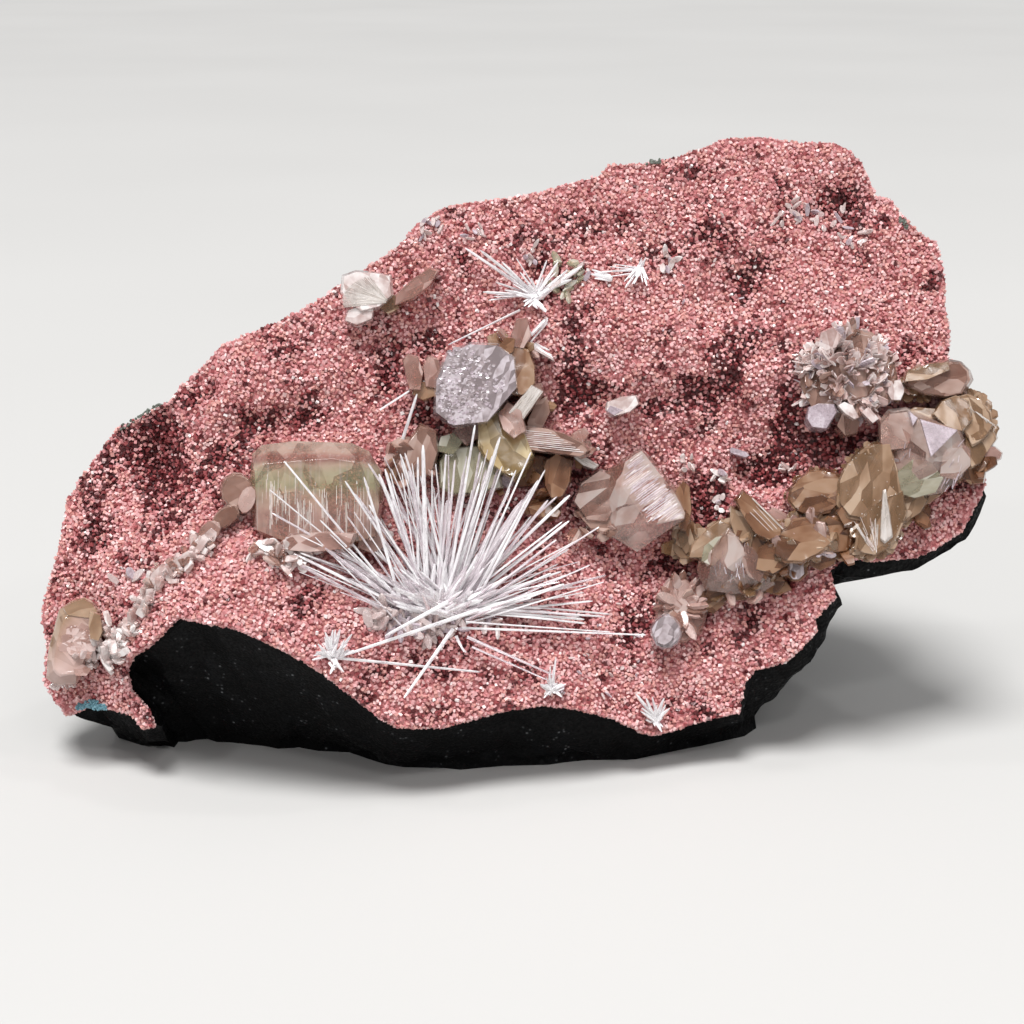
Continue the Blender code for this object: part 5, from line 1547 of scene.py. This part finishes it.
pyramid.grow(glass, ring("938,478 941,450 958,438 972,448 972,466 956,482"),
             4.4, 6.8, 20, tilt=(12, -4))
for _ in range(26):
    pyramid.fleck(silver, pick.uniform(890, 960), pick.uniform(440, 488), pick.uniform(0.5, 2.0),
                  (seen(925, 465, pick.uniform(4.0, 6.2)), facing((0, -6))), pick, 50)
for _ in range(34):
    x, y = pick.uniform(888, 960), pick.uniform(440, 492)
    pyramid.rib(mirror if pick.random() < 0.4 else silver, (x, y),
                (x + pick.uniform(1, 7), y - pick.uniform(3, 12)), pick.uniform(0.4, 1.0),
                (seen(925, 470, 6.9), facing((0, -10))), -0.1, 0.3)
pyramid.finish()

wedge = Cluster("stilbite_edge_wedge_dressed", "stilbite_edge_wedge", "stilbite",
                [honey, dusk, pearl], 0.09)
wedge.grow(dusk, ring("901,385 905,371 928,363 950,358 962,361 971,370 973,380 964,396 946,400 "
                      "924,396"), 2.8, 5.4, 8, layers=3)
wedge.grow(honey, ring("902,383 906,370 930,363 950,361 952,370 928,380"),
           3.6, 5.7, 8, tilt=(0, 10))
pick = random.Random(19)
wedge.sow(pick, [(900, 925, 374, 396, (honey, dusk), 16)],
          lift=1.6, long=(1.6, 3.0), wide=(1.0, 2.0), thick=0.6, lean=(10, 50), roll=50)
wedge.finish()

# %% [markdown]
# ## The rosette, the fan and the loose chips
# Colourless heulandite grows in thin plates that fan round a middle. The plates are turned and
# tilted by chance between the ones that show clearly.

# %% Rosette
rosette = Cluster("heulandite_rosette_dressed", "heulandite_rosette", "heulandite_blades",
                  [rosy, milky, dusk, mirror])
for outline, low, high in [
    (ring("800,386 802,358 818,338 844,326 872,332 892,352 898,378 890,402 866,414 "
          "838,418 812,408"), 1.4, 2.8),
    (ring("818,388 822,360 846,344 872,352 882,376 868,398 840,404"), 2.2, 4.0),
]:
    rosette.grow(dusk, outline, low, high - 1.2, 90)
for finish, outline, low, high, tilt in [
    (mirror, ring("806,419 808,407 818,403 835,404 838,412 827,430 811,428"), 3.2, 4.4, (-18, -6)),
    (dusk, ring("836,426 841,413 852,411 861,422 858,434 845,437"), 3.0, 4.4, (8, -12)),
    (milky, ring("837,405 844,401 853,405 860,418 855,420 845,414"), 4.0, 5.8, (4, 0)),
    (rosy, ring("861,412 868,406 880,419 873,424"), 3.0, 4.8, (10, 0)),
    (milky, ring("887,393 889,380 901,379 906,390 901,401 891,401"), 2.6, 3.9, (20, 6)),
    (rosy, ring("817,347 820,332 834,326 843,336 837,348 826,352"), 3.0, 4.4, (-16, -8)),
]:
    rosette.grow(finish, outline, low, high, 90, tilt=tilt)
pick = random.Random(14)
for _ in range(54):
    around, out = pick.uniform(0, 360), math.sqrt(pick.random())
    x = 848 + 46 * out * math.cos(math.radians(around))
    y = 373 - 43 * out * math.sin(math.radians(around))
    for _ in range(9):
        size = pick.uniform(1.1, 2.9)
        rosette.blade(pick.choices((rosy, milky, dusk, mirror), (10, 6, 1.2, 1.2))[0],
                      x + pick.uniform(-5, 5), y + pick.uniform(-5, 5),
                      3.3 - 2.4 * out * out + pick.uniform(-0.3, 0.4), size,
                      size * pick.uniform(0.35, 0.75), pick.uniform(0.1, 0.24),
                      around + pick.gauss(0, 55), 62 * (1 - out) + pick.uniform(-22, 30),
                      pick.uniform(-85, 85), pick.uniform(0.1, 0.4))
rosette.finish()

fan = Cluster("stilbite_fan_dressed", "stilbite_fan", "stilbite", [pearl, honey, peach, milky],
              0.05)
for finish, outline, low, high, turn in [
    (milky, ring("340,293 342,275 356,270 372,271 392,275 394,296 381,308 362,313 349,305"),
     2.6, 4.7, 128),
    (milky, ring("344,321 347,310 362,305 375,307 373,319 356,326"), 1.8, 3.6, 12),
    (peach, ring("393,307 394,296 412,279 430,267 440,270 431,285 412,300"), 2.2, 4.2, 34),
    (honey, ring("376,307 383,291 397,295 400,309 388,315"), 1.6, 3.2, 30),
]:
    top = fan.grow(finish, outline, low, high, turn)
    if high == 4.7:
        for i in range(30):
            a = math.radians(112 + 2.9 * i)
            fan.rib(pearl, (388 + 2 * math.cos(a), 302 - 2 * math.sin(a)),
                    (386 + 44 * math.cos(a), 300 - 26 * math.sin(a)), 0.8, top, 0.04)
fan.finish()

chips = Cluster("heulandite_glassy_chip", "glassy_chip", "heulandite_blades", [milky, mirror])
chips.grow(milky, ring("605,411 606,402 622,396 637,395 640,404 631,412 614,417"), 1.6, 2.8, 22)
chips.grow(mirror, ring("606,411 610,405 624,410 614,416"), 2.0, 3.0, 22)
chips.finish()
chip = Cluster("heulandite_white_chip", "white_chip", "heulandite_blades", [mirror])
chip.grow(mirror, ring("729,450 731,447 747,452 750,456 746,458 730,453"), 1.4, 2.3, -14)
chip.finish()

# %% [markdown]
# ## Small pieces on the druse
# Between the large crystals lie many small ones: pale blades, grey bits and the milky lumps at the
# root of the main spray. They are sown in boxes of the picture, because only their place and their
# size can be seen. Where the crust ends, celadonite shows here and there.

# %% Small pieces
# Larger heulandite among the grains. To the eye it is paler and glassier than they are.
pale = mineral("heulandite_pale_bits", ["#d9c1bd", "#e6d2cf", "#f3e6e4"], 2.0, 0.2, clear=0.3,
               glint=0.6)
bits = Cluster("druse_small_blades", "druse_crust", "heulandite_druse",
               [pale, milky, mirror, green, amber])
pick = random.Random(41)
for finish, x0, x1, y0, y1, count, long in [
    (pale, 420, 440, 215, 240, 12, 1.6), (pale, 468, 486, 228, 242, 8, 1.4),
    (pale, 518, 536, 244, 260, 8, 1.5), (pale, 772, 846, 202, 228, 22, 1.8),
    (pale, 840, 866, 230, 246, 10, 1.6), (milky, 660, 680, 256, 272, 8, 1.8),
    (milky, 708, 724, 466, 484, 7, 1.8), (milky, 682, 698, 458, 472, 6, 1.6),
    (milky, 710, 722, 500, 514, 6, 1.6), (milky, 776, 792, 462, 476, 6, 1.6),
    (green, 546, 586, 262, 292, 18, 2.2), (pale, 118, 134, 566, 584, 4, 2.6),
    (pale, 370, 404, 598, 630, 40, 2.6), (pale, 400, 442, 602, 634, 46, 2.4),
    (pale, 424, 462, 616, 634, 24, 2.0), (milky, 480, 504, 614, 628, 5, 2.2),
    (milky, 545, 565, 684, 694, 6, 1.4), (amber, 880, 890, 548, 556, 4, 1.2),
    (pale, 560, 640, 596, 700, 14, 1.1), (mirror, 560, 640, 596, 700, 6, 0.8),
    (pale, 640, 760, 200, 330, 16, 0.9),
]:
    for _ in range(count):
        bits.blade(finish if pick.random() < 0.8 else mirror, pick.uniform(x0, x1),
                   pick.uniform(y0, y1), 0.2, long * pick.uniform(0.6, 1.3),
                   long * pick.uniform(0.3, 0.6), 0.2 * long, pick.uniform(0, 360),
                   pick.uniform(5, 55), pick.uniform(-60, 60))
for x, y, x2, y2, wide in ((530, 346, 554, 360, 3.5), (585, 262, 548, 290, 4.5),
                           (404, 607, 436, 630, 8)):
    bits.grow(pale, [(x, y - wide / 2), (x2, y2 - wide / 2), (x2 + 1, y2 + wide / 2),
                     (x, y + wide / 2)], 0.8, 1.9, 30)
bits.finish()

# %% Celadonite
# Celadonite is an earthy coat. To the eye it is dull blue-green or grey, with no shine at all.
celadonite = mineral("celadonite", ["#41626b", "#6794a2", "#8fbac6"], 0.8, 0.5, bump=0.05)
celadonite_dim = mineral("celadonite_dim", ["#494f49", "#62685f", "#80847a"], 0.8, 0.6, bump=0.05)
rims = Cluster("celadonite_rims", "druse_crust", "heulandite_druse", [celadonite, celadonite_dim])
for finish, x, y, x2, y2, high, count in ((celadonite, 77, 708, 106, 708, 8.5, 120),
                                          (celadonite_dim, 120, 429, 166, 402, 1.2, 34),
                                          (celadonite_dim, 648, 163, 662, 161, 1.2, 12),
                                          (celadonite_dim, 900, 219, 908, 228, 1.2, 12)):
    for _ in range(count):
        t = pick.random()
        rise = high * (1 - abs(2 * t - 1)) * pick.uniform(-0.1, 1)
        rims.blade(finish, x + (x2 - x) * t + pick.gauss(0, 0.7), y + (y2 - y) * t - rise, 0.3,
                   pick.uniform(0.3, 0.7), pick.uniform(0.3, 0.6), 0.25, pick.uniform(0, 360),
                   pick.uniform(0, 40), pick.uniform(-60, 60), 0.3)
rims.finish()

# %% [markdown]
# ## The small sprays
# Smaller scolecite sprays sit at the rim of the arch, above the middle, and on the lower rim.

# %% Small sprays
SMALL_SPRAYS = {
    "scolecite_spray_left": [
        ((335, 656), (325, 632), 4, 2.4), ((333, 654), (340, 629), 5, 3.0),
        ((336, 656), (352, 634), 4, 3.2), ((336, 655), (316, 652), 4, 1.6),
        ((338, 658), (480, 672), 3, 1.4), ((332, 655), (330, 636), 3, 2.6),
        ((338, 656), (344, 640), 4, 2.6), ((330, 658), (318, 644), 4, 2.2),
        ((338, 658), (354, 650), 4, 2.2), ((336, 662), (330, 674), 4, 2.0),
        ((332, 660), (344, 672), 4, 2.0), ((330, 655), (312, 660), 3, 1.4),
    ],
    "scolecite_spray_top": [
        ((536, 296), (465, 248), 4, 2.6), ((536, 294), (480, 250), 4, 3.4),
        ((534, 296), (483, 292), 4, 2.4), ((536, 298), (505, 290), 4, 2.6),
        ((520, 310), (448, 345), 2.4, 2.4), ((545, 320), (515, 352), 3, 3.6),
        ((533, 345), (553, 358), 4, 2.4), ((537, 294), (558, 262), 4, 2.4),
        ((540, 296), (582, 266), 7, 2.6), ((537, 294), (520, 272), 3, 3.0),
        ((537, 296), (524, 306), 4, 2.0), ((534, 300), (546, 312), 5, 2.2),
        ((536, 296), (502, 262), 3, 3.0),
    ],
    "scolecite_spray_small": [
        ((641, 266), (625, 288), 3, 2.0), ((642, 267), (647, 286), 3, 2.0),
        ((640, 270), (600, 272), 2.4, 1.4), ((641, 268), (646, 257), 2.4, 1.8),
        ((612, 279), (591, 274), 5, 1.6), ((641, 268), (634, 284), 3, 2.2),
    ],
    "scolecite_tuft_lower": [
        ((552, 688), (556, 657), 3, 2.6), ((552, 690), (566, 684), 4, 2.0),
        ((552, 690), (540, 684), 4, 1.8), ((554, 690), (562, 697), 4, 1.4),
        ((550, 690), (544, 698), 4, 1.2), ((551, 688), (549, 674), 3, 2.2),
    ],
    "scolecite_tuft_right": [
        ((655, 718), (636, 694), 4, 2.6), ((656, 718), (664, 698), 5, 2.6),
        ((654, 718), (646, 698), 4, 2.4), ((656, 720), (670, 708), 4, 2.0),
        ((654, 720), (642, 712), 4, 1.8), ((656, 722), (662, 732), 4, 1.2),
    ],
    "scolecite_long_needle": [((391, 476), (417, 394), 4, 5.0), ((380, 410), (440, 371), 2.4, 3.4)],
}
pick = random.Random(9)
for node_name, rows in SMALL_SPRAYS.items():
    knot = [(seen(*a, 0.6), seen(*b, lift), wide * PIXEL, pick.uniform(-0.6, 0.6))
            for a, b, wide, lift in rows]
    if "long" not in node_name:
        for a, b, wide, lift in rows:
            for _ in range(4):
                short, lean = pick.uniform(0.35, 0.9), math.radians(pick.uniform(-14, 14))
                dx, dy = (b[0] - a[0]) * short, (b[1] - a[1]) * short
                foot = (a[0] + pick.uniform(-3, 3), a[1] + pick.uniform(-3, 3))
                tip = (foot[0] + dx * math.cos(lean) - dy * math.sin(lean),
                       foot[1] + dx * math.sin(lean) + dy * math.cos(lean))
                if math.hypot(b[0] - a[0], b[1] - a[1]) < 60:
                    knot.append((seen(*foot, 0.4), seen(*tip, lift * 0.8), wide * PIXEL * 0.7,
                                 pick.uniform(-0.8, 0.8)))
    needle_piece(node_name + "_needles", knot, needle_white, [node_name])

# %% [markdown]
# ## Stage, light and camera
# The stone stands on plain pale paper. A broad sun from above gives soft shadows, a softbox gives
# the flat faces their sheen, and six small lamps round the stone make its facets glint. A bright
# sky alone would be simpler, but a facet needs something small and bright to mirror.

# %% The paper floor
# Uncoated paper has no gloss: to the eye it is one pale tone that no highlight breaks.
FLOOR_HALF = 4.0  # metres


def make_floor():
    build = bmesh.new()
    bmesh.ops.create_grid(build, x_segments=1, y_segments=1, size=FLOOR_HALF)
    mesh = bpy.data.meshes.new("floor")
    build.to_mesh(mesh)
    build.free()
    made = bpy.data.objects.new("floor", mesh)
    bpy.context.scene.collection.objects.link(made)
    paper, tree = new_finish("matt_paper")
    place = add(tree, "TexCoord").outputs["Object"]
    cloud = add(tree, "TexNoise", {"Scale": 3.0}, {"Vector": place}).outputs["Fac"]
    tone = add(tree, "ValToRGB", (), {"Fac": cloud}, [(0.3, linear("#c4c3c1")),
                                                      (0.7, linear("#c8c7c5"))])
    surface = add(tree, "BsdfPrincipled", {"Roughness": 0.8}, {"Base Color": tone.outputs["Color"]})
    add(tree, "OutputMaterial", (), {"Surface": surface.outputs[0]})
    mesh.materials.append(paper)


make_floor()

# %% Lamps and sky
STONE_MIDDLE = (0, 0, 45)
GLINT_LAMPS = [((120, -900, 1100), 1.2), ((-700, -700, 700), 1.2), ((900, -500, 900), 1.2),
               ((-300, -1200, 300), 0.5), ((500, 100, 1300), 1.2), ((-900, 0, 900), 1.2)]
GLINT_SIZE = 90
SKY, SKY_STRENGTH = (0.62, 0.62, 0.63, 1), 0.42


def lamp(name, place, aim, size, power, kind="AREA"):
    """A lamp: a square softbox with its size in millimetres, or a sun with its width in degrees."""
    light = bpy.data.lights.new(name, kind)
    if kind == "AREA":
        light.size = size * MM
    else:
        light.angle = math.radians(size)
    light.energy = power
    made = bpy.data.objects.new(name, light)
    made.location = Vector(place) * MM
    made.rotation_euler = (Vector(aim) * MM - made.location).to_track_quat("-Z", "Y").to_euler()
    bpy.context.scene.collection.objects.link(made)


lamp("top_light", (-200, -380, 1500), STONE_MIDDLE, 22, 3.3, kind="SUN")
lamp("sheen_softbox", (365, -780, 950), (20, 0, 60), 260, 1.1)
for number, (place, power) in enumerate(GLINT_LAMPS):
    lamp("glint_lamp_%d" % number, place, STONE_MIDDLE, GLINT_SIZE, power)
world = bpy.data.worlds.new("studio")
world.use_nodes = True
background = world.node_tree.nodes["Background"]
background.inputs["Color"].default_value = SKY
background.inputs["Strength"].default_value = SKY_STRENGTH
bpy.context.scene.world = world
bpy.context.scene.view_settings.view_transform = "Standard"
print("lamps:", len(bpy.data.lights))

# %% [markdown]
# ## The camera
# The camera stands at the eye that the lines of sight start from, with the same lens. So a thing
# that was placed by its picture coordinates comes out at that place in the render.

# %% Camera
SENSOR = 36.0  # millimetres
eye = bpy.data.cameras.new("eye")
eye.sensor_width = SENSOR
eye.lens = FOCAL / PICTURE * SENSOR
camera = bpy.data.objects.new("eye", eye)
camera.location = EYE
camera.rotation_euler = (math.pi / 2 - PITCH, 0, 0)
bpy.context.scene.collection.objects.link(camera)
bpy.context.scene.camera = camera
print("lens in mm:", round(eye.lens, 1))
